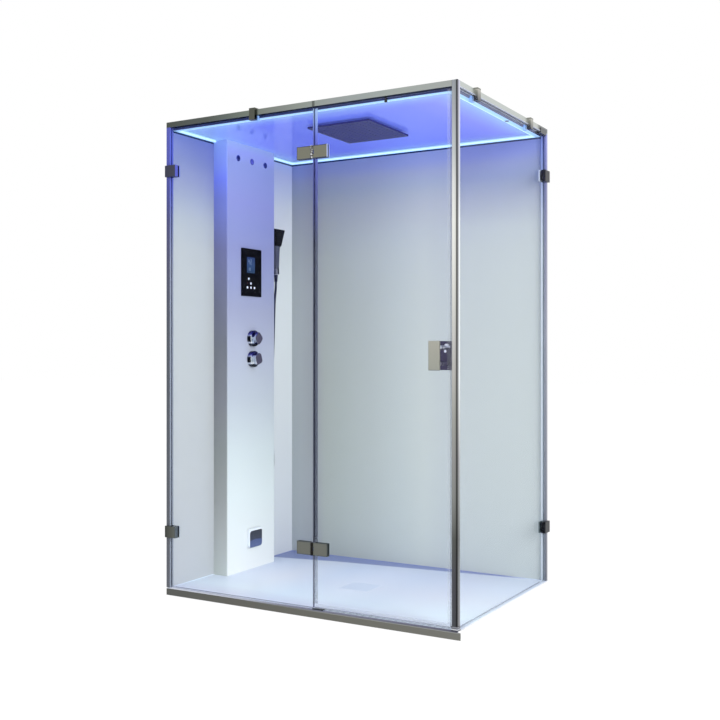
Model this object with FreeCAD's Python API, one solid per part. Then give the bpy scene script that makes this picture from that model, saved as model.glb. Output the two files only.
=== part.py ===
import FreeCAD, Part
import math
import os

from FreeCAD import Vector

os.makedirs("parts", exist_ok=True)

# Steam shower cabin: a walk-in corner cabin with two solid walls (left and rear), a glass
# front with a hinged glass door, a fixed glass side on the right, a lit ceiling and a full
# height service column on the left wall. Millimetres, +X right, +Y rear, +Z up. The origin
# is the middle of the cabin's overall footprint, on the floor it stands on.

# ---------------------------------------------------------------- driving sizes: the cabin
tray_width = 1464.0
tray_depth = 1017.0
tray_height = 35.0
tray_recess = 3.0
tray_corner_radius = 6.0
tray_edge_radius = 1.5
recess_corner_radius = 8.0
cabin_height = 2150.0
frame_inset_right = 12.6
frame_inset_rear = 11.0
rail_width = 24.0
rail_height = 24.0
rim_margin = 12.0
trim_thickness = 2.5
trim_height = 29.0
trim_floor_gap = 1.0
wall_inset_left = 4.0
left_wall_thickness = 8.0
rear_wall_thickness = 6.0

# ---------------------------------------------------------------- driving sizes: the glazing
glass_thickness = 8.0
glass_setback = 8.0
channel_play = 0.3
channel_depth = 12.0
channel_bite = 9.0
profile_width = 20.0
base_seal_height = 5.0
post_foot_height = 17.0
post_foot_step = 1.5
rail_clamp_width = 30.0
rail_clamp_reach = 12.0
rail_clamp_cap = 6.0
rail_clamp_drop = 22.0
rail_clamp_inner = 6.0
front_clamp_from_right = 977.0
side_clamp_first = 183.0
side_clamp_second = 773.0
clamp_play = 0.3
end_socket_length = 74.0
end_socket_from_rear = 22.0
end_socket_wall = 3.0
end_socket_drop = 10.0
end_socket_height = 25.0

# ---------------------------------------------------------------- driving sizes: door and hinges
hinge_axis_from_right = 678.4
hinge_axis_setback = 2.0
fixed_glass_edge_gap = 2.4
door_glass_edge_gap = 6.4
door_top_gap = 6.0
door_bottom_gap = 8.0
door_post_gap = 9.0
hinge_upper_drop = 212.0
hinge_lower_height = 286.0
hinge_plate_length = 66.0
hinge_plate_height = 54.0
hinge_plate_thickness = 5.0
hinge_plate_gap = 9.0
knuckle_radius = 5.5
knuckle_gap = 0.4
hinge_pin_radius = 3.0
pin_play = 0.05
hinge_web = 3.0
hinge_screw_radius = 4.0
hinge_screw_hole_play = 1.0
door_seal_width = 3.4
door_seal_lip = 14.0
bottom_seal_height = 14.0
bottom_seal_wall = 1.6
seal_play = 0.3
magnet_seal_width = 5.0
post_strip_width = 3.0
post_strip_depth = 12.0
threshold_depth = 16.0
threshold_height = 3.0
threshold_block_length = 58.0
threshold_block_depth = 5.0
door_stop_width = 10.0
door_stop_height = 20.0
door_stop_depth = 7.0
door_stop_from_right = 336.0
handle_from_right = 91.5
handle_height = 1091.0
handle_plate_width = 48.0
handle_plate_length = 114.0
handle_plate_thickness = 8.0
handle_projection = 53.0
handle_screw_spacing = 62.0
handle_post_radius = 9.0
handle_screw_radius = 4.0
handle_edge_radius = 1.2

# ---------------------------------------------------------------- driving sizes: wall clamps
wall_clamp_length = 60.0
wall_clamp_height = 52.0
wall_clamp_proud = 12.0
wall_clamp_plate = 6.0
wall_clamp_drop = 224.0
wall_clamp_lower = 290.0
wall_clamp_screw = 40.0

# ---------------------------------------------------------------- driving sizes: ceiling
ceiling_drop = 26.0
ceiling_thickness = 5.0
ceiling_frame_drop = 7.0
ceiling_frame_leg = 3.0
ceiling_frame_width = 30.0
ceiling_wall_ledge = 6.0
led_width = 7.0
led_height = 6.0
rain_width = 320.0
rain_depth = 370.0
rain_boss_height = 10.0
rain_body_thickness = 8.0
rain_corner_radius = 4.0
rain_from_right = 710.0
rain_from_front = 446.0
rain_face_margin = 8.0
rain_face_thickness = 2.0
nozzle_radius = 2.4
nozzle_height = 1.6
nozzle_rows = 14
nozzle_columns = 12
rain_boss_radius = 30.0
rain_stem_radius = 14.0
rain_elbow_side = 26.0
rain_elbow_height = 20.0
sensor_radius = 9.0
sensor_shank_radius = 6.0
sensor_from_right = 57.0
sensor_from_front = 612.0

# ---------------------------------------------------------------- driving sizes: service column
column_depth = 80.0
column_width = 393.0
column_from_front = 524.5
column_wall = 2.5
column_edge_radius = 5.0
lamp_radius = 15.0
lamp_body_radius = 12.5
lamp_body_length = 20.0
lamp_rim = 2.0
lamp_spacing = 112.0
lamp_drop = 75.0
lamp_offset = 3.5
panel_width = 160.0
panel_height = 235.0
panel_thickness = 7.0
panel_offset = -6.5
panel_bottom = 1381.0
panel_border = 9.0
panel_box_depth = 30.0
display_width = 65.0
display_height = 78.0
display_rise = 115.0
display_offset = -8.0
display_depth = 1.6
display_glass = 1.4
key_radius = 5.6
key_play = 0.3
key_thickness = 4.0
key_proud = 0.6
key_travel = 1.2
key_stop_gap = 0.6
key_row_rise = 43.0
key_row_pitch = 29.0
key_light_rise = 20.6
key_steam_rise = 43.0
key_steam_shift = -17.5
key_row_shift = -7.5
knob_offset = 3.5
knob_upper_height = 1173.6
knob_spacing = 101.9
sleeve_radius = 40.0
sleeve_length = 22.0
sleeve_edge_radius = 6.0
knob_gap = 0.4
knob_radius = 30.0
knob_flat = 50.0
knob_length = 21.0
knob_edge_radius = 2.0
spindle_radius = 10.0
spindle_play = 0.05
spindle_depth = 18.0
neck_radius = 22.0
mixer_depth = 40.0
mixer_width = 60.0
mixer_end_margin = 29.0
mixer_arm_radius = 14.0
supply_spacing = 150.0
inlet_hole_play = 1.0
thread_minor_radius = 9.3
thread_length = 14.0
outlet_width = 106.0
outlet_height = 93.0
outlet_depth = 14.0
outlet_wall = 2.0
outlet_corner_radius = 16.0
outlet_slot_width = 84.0
outlet_level = 185.5
outlet_offset = 18.5
generator_width = 240.0
generator_height = 270.0
generator_depth = 60.0
generator_bottom = 330.0
generator_side_gap = 10.0
pipe_radius = 9.0
pipe_bend = 24.0
riser_hole_play = 12.0
steam_pipe_rise = 60.0
steam_pipe_side = 150.0

# ---------------------------------------------------------------- driving sizes: hand shower
handset_from_wall = 52.0
handset_from_front = 774.0
handset_seat_height = 1524.0
handset_length = 236.0
grip_lower_radius = 10.5
grip_collar_radius = 16.5
grip_upper_radius = 19.0
head_height = 86.0
head_top_width = 98.0
head_bottom_width = 54.0
head_thickness = 30.0
head_edge_radius = 5.0
head_face_thickness = 3.0
nut_radius = 10.0
nut_length = 34.0
cradle_radius = 17.0
cradle_bore = 11.6
cradle_length = 30.0
cradle_slot = 17.0
bracket_plate_radius = 24.0
bracket_plate_thickness = 7.0
bracket_arm_radius = 8.0
hose_diameter = 13.0
hose_bore = 8.0
hose_elbow_radius = 11.0
hose_elbow_height = 1010.0
hose_elbow_drop = 25.0
hose_elbow_reach = 24.0
hose_elbow_from_wall = 30.0

# ---------------------------------------------------------------- driving sizes: drain
drain_side = 149.0
drain_cover_thickness = 6.0
drain_gap = 1.5
drain_ledge = 9.0
drain_well_depth = 18.0
drain_from_right = 709.5
drain_from_front = 464.5
waste_flange_radius = 54.0
waste_flange_thickness = 3.0
waste_body_radius = 44.0
waste_hole_play = 1.0
waste_bore_radius = 25.0
waste_floor_gap = 1.0

# ---------------------------------------------------------------- reference planes
handle_reach = handle_projection - glass_setback
overall_depth = tray_depth + handle_reach
x_right = tray_width / 2
x_left = -tray_width / 2
y_front = handle_reach - overall_depth / 2
y_back = y_front + tray_depth
frame_right = x_right - frame_inset_right
frame_back = y_back - frame_inset_rear
left_wall_out = x_left + wall_inset_left
left_wall_in = left_wall_out + left_wall_thickness
rear_wall_in = frame_back - rear_wall_thickness
rail_in_front = y_front + rail_width
rail_in_right = frame_right - rail_width
rail_bottom = cabin_height - rail_height
floor_level = tray_height - tray_recess
glass_front = y_front + glass_setback
glass_back = glass_front + glass_thickness
side_glass_out = frame_right - glass_setback
side_glass_in = side_glass_out - glass_thickness
hinge_x = x_right - hinge_axis_from_right
hinge_y = y_front + hinge_axis_setback
fixed_glass_right = hinge_x + fixed_glass_edge_gap
door_left = hinge_x + door_glass_edge_gap
door_right = rail_in_right - door_post_gap
door_top = rail_bottom - door_top_gap
door_bottom = tray_height + door_bottom_gap
column_face = left_wall_in + column_depth
riser_hole_radius = pipe_radius + riser_hole_play
column_y = y_front + column_from_front
column_front_side = column_y - column_width / 2
column_rear_side = column_y + column_width / 2
ceiling_underside = cabin_height - ceiling_drop
ceiling_top = ceiling_underside + ceiling_thickness
frame_bottom = ceiling_underside - ceiling_frame_drop
profile_front_of_rear = frame_back - profile_width


# ---------------------------------------------------------------- shape helpers
def block(x0, x1, y0, y1, z0, z1):
    return Part.makeBox(x1 - x0, y1 - y0, z1 - z0, Vector(x0, y0, z0))


def rod_x(x0, x1, y, z, radius):
    return Part.makeCylinder(radius, x1 - x0, Vector(x0, y, z), Vector(1, 0, 0))


def rod_y(y0, y1, x, z, radius):
    return Part.makeCylinder(radius, y1 - y0, Vector(x, y0, z), Vector(0, 1, 0))


def rod_z(z0, z1, x, y, radius):
    return Part.makeCylinder(radius, z1 - z0, Vector(x, y, z0), Vector(0, 0, 1))


def soften(shape, radius, keep):
    """Round the straight or round edges whose middle point passes the test keep."""
    edges = []
    for edge in shape.Edges:
        middle = edge.valueAt((edge.FirstParameter + edge.LastParameter) / 2)
        if keep(edge, middle):
            edges.append(edge)
    return shape.makeFillet(radius, edges)


def runs_along(edge, direction):
    if len(edge.Vertexes) < 2:
        return False
    span = edge.Vertexes[1].Point.sub(edge.Vertexes[0].Point)
    return span.Length > 0 and abs(span.dot(direction)) / span.Length > 0.999


def rounded_block(x0, x1, y0, y1, z0, z1, radius, direction):
    """A block whose four edges along the given direction are rounded."""
    shape = block(x0, x1, y0, y1, z0, z1)
    return soften(shape, radius, lambda edge, middle: runs_along(edge, direction))


def bent_tube(points, radius, bend, bore=0.0):
    """A tube along straight runs joined by tangent arcs of one bend radius."""
    edges = []
    start = points[0]
    for index in range(1, len(points) - 1):
        corner = points[index]
        into = corner.sub(points[index - 1]).normalize()
        out = points[index + 1].sub(corner).normalize()
        turn = into.getAngle(out)
        trim = bend * math.tan(turn / 2)
        arc_start = corner.sub(into * trim)
        arc_end = corner.add(out * trim)
        bisector = out.sub(into).normalize()
        centre = corner.add(bisector * (bend / math.cos(turn / 2)))
        arc_middle = centre.sub(bisector * bend)
        edges.append(Part.LineSegment(start, arc_start).toShape())
        edges.append(Part.Arc(arc_start, arc_middle, arc_end).toShape())
        start = arc_end
    edges.append(Part.LineSegment(start, points[-1]).toShape())
    path = Part.Wire(edges)
    heading = points[1].sub(points[0]).normalize()

    def skin(size):
        circle = Part.Wire([Part.makeCircle(size, points[0], heading)])
        return path.makePipeShell([circle], True, False)

    tube = skin(radius)
    if bore > 0:
        tube = tube.cut(skin(bore))
    return tube


def save(node, solids):
    shapes = solids if isinstance(solids, list) else [solids]
    shape = shapes[0] if len(shapes) == 1 else Part.makeCompound(shapes)
    shape.exportStep("parts/" + node + ".step")


along_x = Vector(1, 0, 0)
along_y = Vector(0, 1, 0)
along_z = Vector(0, 0, 1)

# ---------------------------------------------------------------- shower tray and its waste
drain_x = x_right - drain_from_right
drain_y = y_front + drain_from_front
tray_front = y_front + trim_thickness
rim_front = rail_in_front + rim_margin
rim_right = rail_in_right - rim_margin
cover_bottom = floor_level - drain_cover_thickness
well_bottom = cover_bottom - drain_well_depth + waste_flange_thickness

tray = rounded_block(
    x_left, x_right, tray_front, y_back, 0, tray_height, tray_corner_radius, along_z
)
tray = soften(
    tray, tray_edge_radius, lambda edge, middle: abs(middle.z - tray_height) < 0.01
)
tray = tray.cut(
    rounded_block(
        left_wall_in, rim_right, rim_front, rear_wall_in, floor_level, tray_height + 1,
        recess_corner_radius, along_z,
    )
)
pocket_half = drain_side / 2 + drain_gap
well_half = drain_side / 2 - drain_ledge
tray = tray.cut(
    block(drain_x - pocket_half, drain_x + pocket_half, drain_y - pocket_half,
          drain_y + pocket_half, cover_bottom, tray_height)
)
tray = tray.cut(
    block(drain_x - well_half, drain_x + well_half, drain_y - well_half,
          drain_y + well_half, well_bottom, tray_height)
)
tray = tray.cut(rod_z(-1, tray_height, drain_x, drain_y, waste_body_radius + waste_hole_play))
save("shower_tray", tray)

waste = rod_z(waste_floor_gap, well_bottom, drain_x, drain_y, waste_body_radius)
waste = waste.fuse(
    rod_z(well_bottom, well_bottom + waste_flange_thickness, drain_x, drain_y,
          waste_flange_radius)
)
waste = waste.cut(rod_z(0, tray_height, drain_x, drain_y, waste_bore_radius))
save("waste_flange", waste.removeSplitter())

cover_half = drain_side / 2
cover = rounded_block(
    drain_x - cover_half, drain_x + cover_half, drain_y - cover_half, drain_y + cover_half,
    cover_bottom, floor_level, 4.0, along_z,
)
save("drain_cover", cover)

trim = block(x_left, x_right, y_front, tray_front, trim_floor_gap, trim_floor_gap + trim_height)
trim = soften(
    trim, 0.8,
    lambda edge, middle: abs(middle.y - y_front) < 0.01 and runs_along(edge, along_x),
)
save("tray_front_trim", trim)

# ---------------------------------------------------------------- solid walls
knob_lower_height = knob_upper_height - knob_spacing
supply_height = (knob_upper_height + knob_lower_height) / 2
knob_y = column_y + knob_offset
left_wall = block(left_wall_out, left_wall_in, rail_in_front, frame_back, tray_height, cabin_height)
for side in (-1, 1):
    left_wall = left_wall.cut(
        rod_x(left_wall_out - 1, left_wall_in + 1, knob_y + side * supply_spacing / 2,
              supply_height, mixer_arm_radius + inlet_hole_play)
    )
save("left_wall_panel", left_wall)
save(
    "rear_wall_panel",
    block(left_wall_in, rail_in_right, rear_wall_in, frame_back, tray_height, cabin_height),
)

# ---------------------------------------------------------------- wall profiles that hold the glass
left_profile = block(x_left, x_left + profile_width, y_front, rail_in_front, tray_height, rail_bottom)
left_profile = left_profile.cut(
    block(x_left + profile_width - channel_depth, x_left + profile_width + 1,
          glass_front - channel_play, glass_back + channel_play, tray_height - 1, rail_bottom + 1)
)
rear_profile = block(rail_in_right, frame_right, profile_front_of_rear, frame_back,
                     tray_height, rail_bottom)
rear_profile = rear_profile.cut(
    block(side_glass_in - channel_play, side_glass_out + channel_play,
          profile_front_of_rear - 1, profile_front_of_rear + channel_depth,
          tray_height - 1, rail_bottom + 1)
)
save("wall_profiles", [left_profile, rear_profile])

# ---------------------------------------------------------------- top rails
groove_low = glass_setback - channel_play
groove_high = glass_setback + glass_thickness + channel_play
front_rail = block(x_left, rail_in_right, y_front, rail_in_front, rail_bottom, cabin_height)
front_rail = front_rail.cut(
    block(x_left - 1, rail_in_right + 1, y_front + groove_low, y_front + groove_high,
          rail_bottom - 1, rail_bottom + channel_depth)
)
front_rail = soften(
    front_rail, 0.8,
    lambda edge, middle: abs(middle.y - y_front) < 0.01 and runs_along(edge, along_x),
)
save("front_top_rail", front_rail)

side_rail = block(rail_in_right, frame_right, rail_in_front, frame_back, rail_bottom, cabin_height)
side_rail = side_rail.cut(
    block(frame_right - groove_high, frame_right - groove_low, rail_in_front - 1,
          frame_back + 1, rail_bottom - 1, rail_bottom + channel_depth)
)
side_rail = soften(
    side_rail, 0.8,
    lambda edge, middle: abs(middle.x - frame_right) < 0.01 and runs_along(edge, along_y),
)
save("side_top_rail", side_rail)

# The two cheeks that hold the side rail's rear end, one each side of the glass.
socket_back = frame_back - end_socket_from_rear
socket_front = socket_back - end_socket_length
socket_bottom = rail_bottom - end_socket_drop
socket = block(rail_in_right - end_socket_wall, frame_right + end_socket_wall, socket_front,
               socket_back, socket_bottom, socket_bottom + end_socket_height)
socket = socket.cut(
    block(rail_in_right, frame_right, socket_front - 1, socket_back + 1, rail_bottom,
          cabin_height + 1)
)
socket = socket.cut(
    block(frame_right - groove_high, frame_right - groove_low, socket_front - 1,
          socket_back + 1, socket_bottom - 1, rail_bottom + 1)
)
save("side_rail_sockets", socket.Solids)

# ---------------------------------------------------------------- corner post and its foot
post = block(rail_in_right, frame_right, y_front, rail_in_front, tray_height, cabin_height)
post = post.cut(
    block(frame_right - groove_high, frame_right - groove_low,
          rail_in_front - channel_depth, rail_in_front + 1, tray_height - 1,
          rail_bottom + channel_depth)
)
post = soften(
    post, 1.5,
    lambda edge, middle: runs_along(edge, along_z) and abs(middle.y - y_front) < 0.01,
)
save("corner_post", post)

foot = None
step_height = post_foot_height / 3
for step in range(3):
    grow = post_foot_step * (3 - step) / 3 + 0.5
    layer = block(rail_in_right - grow, frame_right + grow, y_front - grow, rail_in_front,
                  tray_height + step * step_height, tray_height + (step + 1) * step_height)
    foot = layer if foot is None else foot.fuse(layer)
foot = foot.cut(
    block(rail_in_right, frame_right, y_front, rail_in_front + 1, tray_height - 1, cabin_height)
)
save("post_foot", foot)

# ---------------------------------------------------------------- fixed glass
seal_top = tray_height + base_seal_height
glass_top = rail_bottom + channel_bite
front_glass_left = x_left + profile_width - channel_bite
side_glass_front = rail_in_front - channel_bite
side_glass_rear = profile_front_of_rear + channel_bite
front_glass = block(front_glass_left, fixed_glass_right, glass_front, glass_back, seal_top, glass_top)
side_glass = block(side_glass_in, side_glass_out, side_glass_front, side_glass_rear,
                   seal_top, glass_top)
door_glass = block(door_left, door_right, glass_front, glass_back, door_bottom, door_top)

hinge_heights = (cabin_height - hinge_upper_drop, hinge_lower_height)
clamp_heights = (cabin_height - wall_clamp_drop, wall_clamp_lower)
screw_hole = hinge_screw_radius + hinge_screw_hole_play
hinge_middle = hinge_plate_gap + hinge_plate_length / 2
clamp_hole_x = x_left + wall_clamp_screw
clamp_hole_y = frame_back - wall_clamp_screw
for height in hinge_heights:
    front_glass = front_glass.cut(
        rod_y(glass_front - 1, glass_back + 1, hinge_x - hinge_middle, height, screw_hole)
    )
    door_glass = door_glass.cut(
        rod_y(glass_front - 1, glass_back + 1, hinge_x + hinge_middle, height, screw_hole)
    )
for height in clamp_heights:
    front_glass = front_glass.cut(
        rod_y(glass_front - 1, glass_back + 1, clamp_hole_x, height, screw_hole)
    )
    side_glass = side_glass.cut(
        rod_x(side_glass_in - 1, side_glass_out + 1, clamp_hole_y, height, screw_hole)
    )
handle_x = x_right - handle_from_right
for side in (-1, 1):
    door_glass = door_glass.cut(
        rod_y(glass_front - 1, glass_back + 1, handle_x,
              handle_height + side * handle_screw_spacing / 2, screw_hole)
    )
save("fixed_front_glass", front_glass)
save("fixed_side_glass", side_glass)
save("door_glass", door_glass)

# Clear strips that seat the fixed glass on the tray.
front_seal = block(x_left + profile_width, fixed_glass_right, glass_front - 1, glass_back + 1,
                   tray_height, seal_top)
side_seal = block(side_glass_in - 1, side_glass_out + 1, rail_in_front, profile_front_of_rear,
                  tray_height, seal_top)
save("glass_base_seals", [front_seal, side_seal])

# ---------------------------------------------------------------- clamps over the top rails
clamp_bottom = rail_bottom - rail_clamp_drop
clamp_top = cabin_height + rail_clamp_cap


def rail_clamp_at_origin():
    """An inverted U over a rail that runs along X, its outer face towards -Y."""
    half = rail_clamp_width / 2
    shape = block(-half, half, -rail_clamp_reach, rail_width + rail_clamp_inner,
                  clamp_bottom, clamp_top)
    shape = soften(
        shape, 2.0,
        lambda edge, middle: abs(middle.y + rail_clamp_reach) < 0.01,
    )
    shape = shape.cut(block(-half - 1, half + 1, 0, rail_width, rail_bottom, cabin_height))
    return shape.cut(
        block(-half - 1, half + 1, groove_low, groove_high, clamp_bottom - 1, rail_bottom + 1)
    )


def front_rail_clamp(centre_x):
    shape = rail_clamp_at_origin()
    shape.translate(Vector(centre_x, y_front, 0))
    return shape


def side_rail_clamp(centre_y):
    shape = rail_clamp_at_origin()
    shape.rotate(Vector(0, 0, 0), along_z, 90)
    shape.translate(Vector(frame_right, centre_y, 0))
    return shape


front_clamp_x = x_right - front_clamp_from_right
side_clamp_ys = (y_front + side_clamp_first, y_front + side_clamp_second)
save(
    "rail_clamps",
    [front_rail_clamp(front_clamp_x)] + [side_rail_clamp(place) for place in side_clamp_ys],
)

# ---------------------------------------------------------------- clamps that tie the glass to the walls
fixing_screws = []
wall_clamps = []
clamp_seat = profile_width + clamp_play
half_clamp = wall_clamp_height / 2
screw_bite = hinge_plate_thickness / 2


def wall_clamp_at_origin():
    """Outer block with a lip over the profile, and inner plate; the wall lies at x = 0."""
    outer = block(0, wall_clamp_length, -wall_clamp_proud, glass_setback, -half_clamp, half_clamp)
    outer = outer.cut(
        block(-1, clamp_seat, 0, glass_setback + 1, -half_clamp - 1, half_clamp + 1)
    )
    outer = soften(
        outer, 1.5,
        lambda edge, middle: abs(middle.y + wall_clamp_proud) < 0.01,
    )
    outer = outer.cut(rod_y(0, glass_setback, wall_clamp_screw, 0, hinge_screw_radius))
    inner_y = glass_setback + glass_thickness
    inner = block(clamp_seat, wall_clamp_length, inner_y, inner_y + wall_clamp_plate,
                  -half_clamp, half_clamp)
    inner = inner.cut(
        rod_y(inner_y, inner_y + wall_clamp_plate, wall_clamp_screw, 0, hinge_screw_radius)
    )
    screw = rod_y(0, inner_y + wall_clamp_plate, wall_clamp_screw, 0, hinge_screw_radius)
    return [outer, inner], screw


for height in clamp_heights:
    plates, screw = wall_clamp_at_origin()
    for shape in plates + [screw]:
        shape.translate(Vector(x_left, y_front, height))
    wall_clamps += plates
    fixing_screws.append(screw)
    plates, screw = wall_clamp_at_origin()
    for shape in plates + [screw]:
        shape.rotate(Vector(0, 0, 0), along_z, 90)
        shape.translate(Vector(frame_right, frame_back, height))
    wall_clamps += [shape.mirror(Vector(0, frame_back, 0), along_y) for shape in plates]
    fixing_screws.append(screw.mirror(Vector(0, frame_back, 0), along_y))
save("wall_clamps", wall_clamps)

# ---------------------------------------------------------------- glass to glass hinges


plate_front = glass_front - hinge_plate_thickness
plate_rear = glass_back + hinge_plate_thickness


def hinge_leaf(side, height):
    """Outer plate with knuckles and inner plate of one leaf; side -1 is fixed, +1 is the door."""
    near = hinge_x + side * hinge_plate_gap
    far = near + side * hinge_plate_length
    low = height - hinge_plate_height / 2
    high = height + hinge_plate_height / 2
    x_low = min(near, far)
    x_high = max(near, far)
    outer = block(x_low, x_high, plate_front, glass_front, low, high)
    third = hinge_plate_height / 3
    if side < 0:
        spans = [(low + third + knuckle_gap, high - third - knuckle_gap)]
    else:
        spans = [(low, low + third), (high - third, high)]
    web_low = min(hinge_x, near + side)
    web_high = max(hinge_x, near + side)
    for z_low, z_high in spans:
        outer = outer.fuse(rod_z(z_low, z_high, hinge_x, hinge_y, knuckle_radius))
        outer = outer.fuse(
            block(web_low, web_high, plate_front,
                  plate_front + hinge_web, z_low, z_high)
        )
    play = 0.0 if side < 0 else pin_play
    outer = outer.cut(
        rod_z(low - 1, high + 1, hinge_x, hinge_y, hinge_pin_radius + play)
    )
    screw_x = hinge_x + side * hinge_middle
    outer = outer.cut(
        rod_y(plate_front + screw_bite, glass_front, screw_x, height, hinge_screw_radius)
    )
    inner = block(x_low, x_high, glass_back, plate_rear, low, high)
    inner = inner.cut(rod_y(glass_back, plate_rear, screw_x, height, hinge_screw_radius))
    return [outer.removeSplitter(), inner]


def hinge_screw(side, height):
    return rod_y(plate_front + screw_bite, plate_rear, hinge_x + side * hinge_middle, height,
                 hinge_screw_radius)


fixed_leaves = []
door_leaves = []
door_screws = []
hinge_pins = []
for height in hinge_heights:
    fixed_leaves += hinge_leaf(-1, height)
    door_leaves += hinge_leaf(1, height)
    fixing_screws.append(hinge_screw(-1, height))
    door_screws.append(hinge_screw(1, height))
    half = hinge_plate_height / 2
    hinge_pins.append(
        rod_z(height - half, height + half, hinge_x, hinge_y, hinge_pin_radius)
    )
save("hinge_fixed_leaves", fixed_leaves)
save("hinge_door_leaves", door_leaves)
save("hinge_pins", hinge_pins)
save("fixing_screws", fixing_screws)
save("hinge_door_screws", door_screws)

# ---------------------------------------------------------------- door handle, one plate each side
handle_low = handle_height - handle_plate_length / 2
handle_high = handle_height + handle_plate_length / 2


def handle_plate(y_low):
    shape = block(handle_x - handle_plate_width / 2, handle_x + handle_plate_width / 2,
                  y_low, y_low + handle_plate_thickness, handle_low, handle_high)
    return shape.makeFillet(handle_edge_radius, shape.Edges)


outer_plate_y = glass_front - handle_projection
inner_plate_y = glass_back + handle_projection - handle_plate_thickness
save("handle_plates", [handle_plate(outer_plate_y), handle_plate(inner_plate_y)])
standoffs = []
for side in (-1, 1):
    height = handle_height + side * handle_screw_spacing / 2
    bar = rod_y(outer_plate_y + handle_plate_thickness, glass_front, handle_x, height,
                handle_post_radius)
    bar = bar.fuse(rod_y(glass_front, glass_back, handle_x, height, handle_screw_radius))
    bar = bar.fuse(rod_y(glass_back, inner_plate_y, handle_x, height, handle_post_radius))
    standoffs.append(bar.removeSplitter())
save("handle_standoffs", standoffs)

# ---------------------------------------------------------------- door seals, threshold and stop
seal_left = door_left - door_seal_width
door_seal_bottom = door_bottom + bottom_seal_height
hinge_seal = block(seal_left, door_left, glass_front, glass_back, door_seal_bottom, door_top)
hinge_seal = hinge_seal.fuse(
    block(seal_left, door_left + door_seal_lip, glass_back, glass_back + bottom_seal_wall,
          door_seal_bottom, door_top)
)
for height in hinge_heights:
    half = hinge_plate_height / 2 + 1
    hinge_seal = hinge_seal.cut(
        block(seal_left - 1, door_left + door_seal_lip + 1, glass_front - 1, glass_back + 5,
              height - half, height + half)
    )
save("door_hinge_seal", hinge_seal.removeSplitter().Solids)

seal_low = tray_height + threshold_height + seal_play
bottom_seal = block(door_left, door_right, glass_front - bottom_seal_wall,
                    glass_back + bottom_seal_wall, seal_low, door_seal_bottom)
bottom_seal = bottom_seal.cut(
    block(door_left - 1, door_right + 1, glass_front, glass_back, door_bottom, door_seal_bottom + 1)
)
save("door_bottom_seal", bottom_seal)

magnet_right = door_right + magnet_seal_width
magnet_seal = block(door_right, magnet_right, glass_front, glass_back, door_bottom, door_top)
for y_low, y_high in (
    (glass_front - bottom_seal_wall, glass_front),
    (glass_back, glass_back + bottom_seal_wall),
):
    magnet_seal = magnet_seal.fuse(
        block(door_right - door_seal_lip, magnet_right, y_low, y_high, door_seal_bottom, door_top)
    )
save("door_magnet_seal", magnet_seal.removeSplitter())
strip_y = (glass_front + glass_back) / 2
save(
    "post_magnet_strip",
    block(rail_in_right - post_strip_width, rail_in_right, strip_y - post_strip_depth / 2,
          strip_y + post_strip_depth / 2, tray_height + post_foot_height, rail_bottom),
)

threshold_y = glass_front - post_foot_step - 1
threshold_top = tray_height + threshold_height
threshold = block(fixed_glass_right, rail_in_right - post_foot_step - 1, threshold_y,
                  threshold_y + threshold_depth, tray_height, threshold_top)
threshold = threshold.fuse(
    block(fixed_glass_right, fixed_glass_right + threshold_block_length,
          threshold_y - threshold_block_depth, threshold_y, tray_height, threshold_top)
)
save("threshold_bar", threshold.removeSplitter())

stop_x = x_right - door_stop_from_right
stop_y = glass_back + seal_play
save(
    "door_stop",
    block(stop_x - door_stop_width / 2, stop_x + door_stop_width / 2, stop_y,
          stop_y + door_stop_depth, rail_bottom - door_stop_height, rail_bottom),
)

# ---------------------------------------------------------------- ceiling, its frame and its light
ledge_left = left_wall_in + ceiling_wall_ledge
ledge_rear = rear_wall_in - ceiling_wall_ledge
ledge_front = rail_in_front + ceiling_frame_width
ledge_right = rail_in_right - ceiling_frame_width
frame_ring = block(left_wall_in, rail_in_right, rail_in_front, rear_wall_in,
                   frame_bottom, cabin_height - 1)
frame_ring = frame_ring.cut(
    block(ledge_left, ledge_right, ledge_front, ledge_rear, frame_bottom - 1, ceiling_underside + 1)
)
frame_ring = frame_ring.cut(
    block(left_wall_in + ceiling_frame_leg, rail_in_right - ceiling_frame_leg,
          rail_in_front + ceiling_frame_leg, rear_wall_in - ceiling_frame_leg,
          ceiling_underside, cabin_height + 1)
)
clamp_room = rail_clamp_inner + clamp_play
clamp_half = rail_clamp_width / 2 + clamp_play
frame_ring = frame_ring.cut(
    block(front_clamp_x - clamp_half, front_clamp_x + clamp_half, rail_in_front - 1,
          rail_in_front + clamp_room, frame_bottom - 1, cabin_height + 1)
)
for place in side_clamp_ys:
    frame_ring = frame_ring.cut(
        block(rail_in_right - clamp_room, rail_in_right + 1, place - clamp_half,
              place + clamp_half, frame_bottom - 1, cabin_height + 1)
    )
frame_ring = frame_ring.cut(
    block(rail_in_right - end_socket_wall - clamp_play, rail_in_right + 1,
          socket_front - clamp_play, socket_back + clamp_play, frame_bottom - 1,
          socket_bottom + end_socket_height + clamp_play)
)
frame_ring = frame_ring.cut(
    block(left_wall_in - 1, column_face + clamp_play, column_front_side - clamp_play,
          column_rear_side + clamp_play, frame_bottom - 1, ceiling_underside)
)
sensor_x = x_right - sensor_from_right
sensor_y = y_front + sensor_from_front
frame_ring = frame_ring.cut(
    rod_z(frame_bottom - 1, ceiling_underside + 1, sensor_x, sensor_y, sensor_shank_radius)
)
save("ceiling_frame", frame_ring.removeSplitter())

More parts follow.
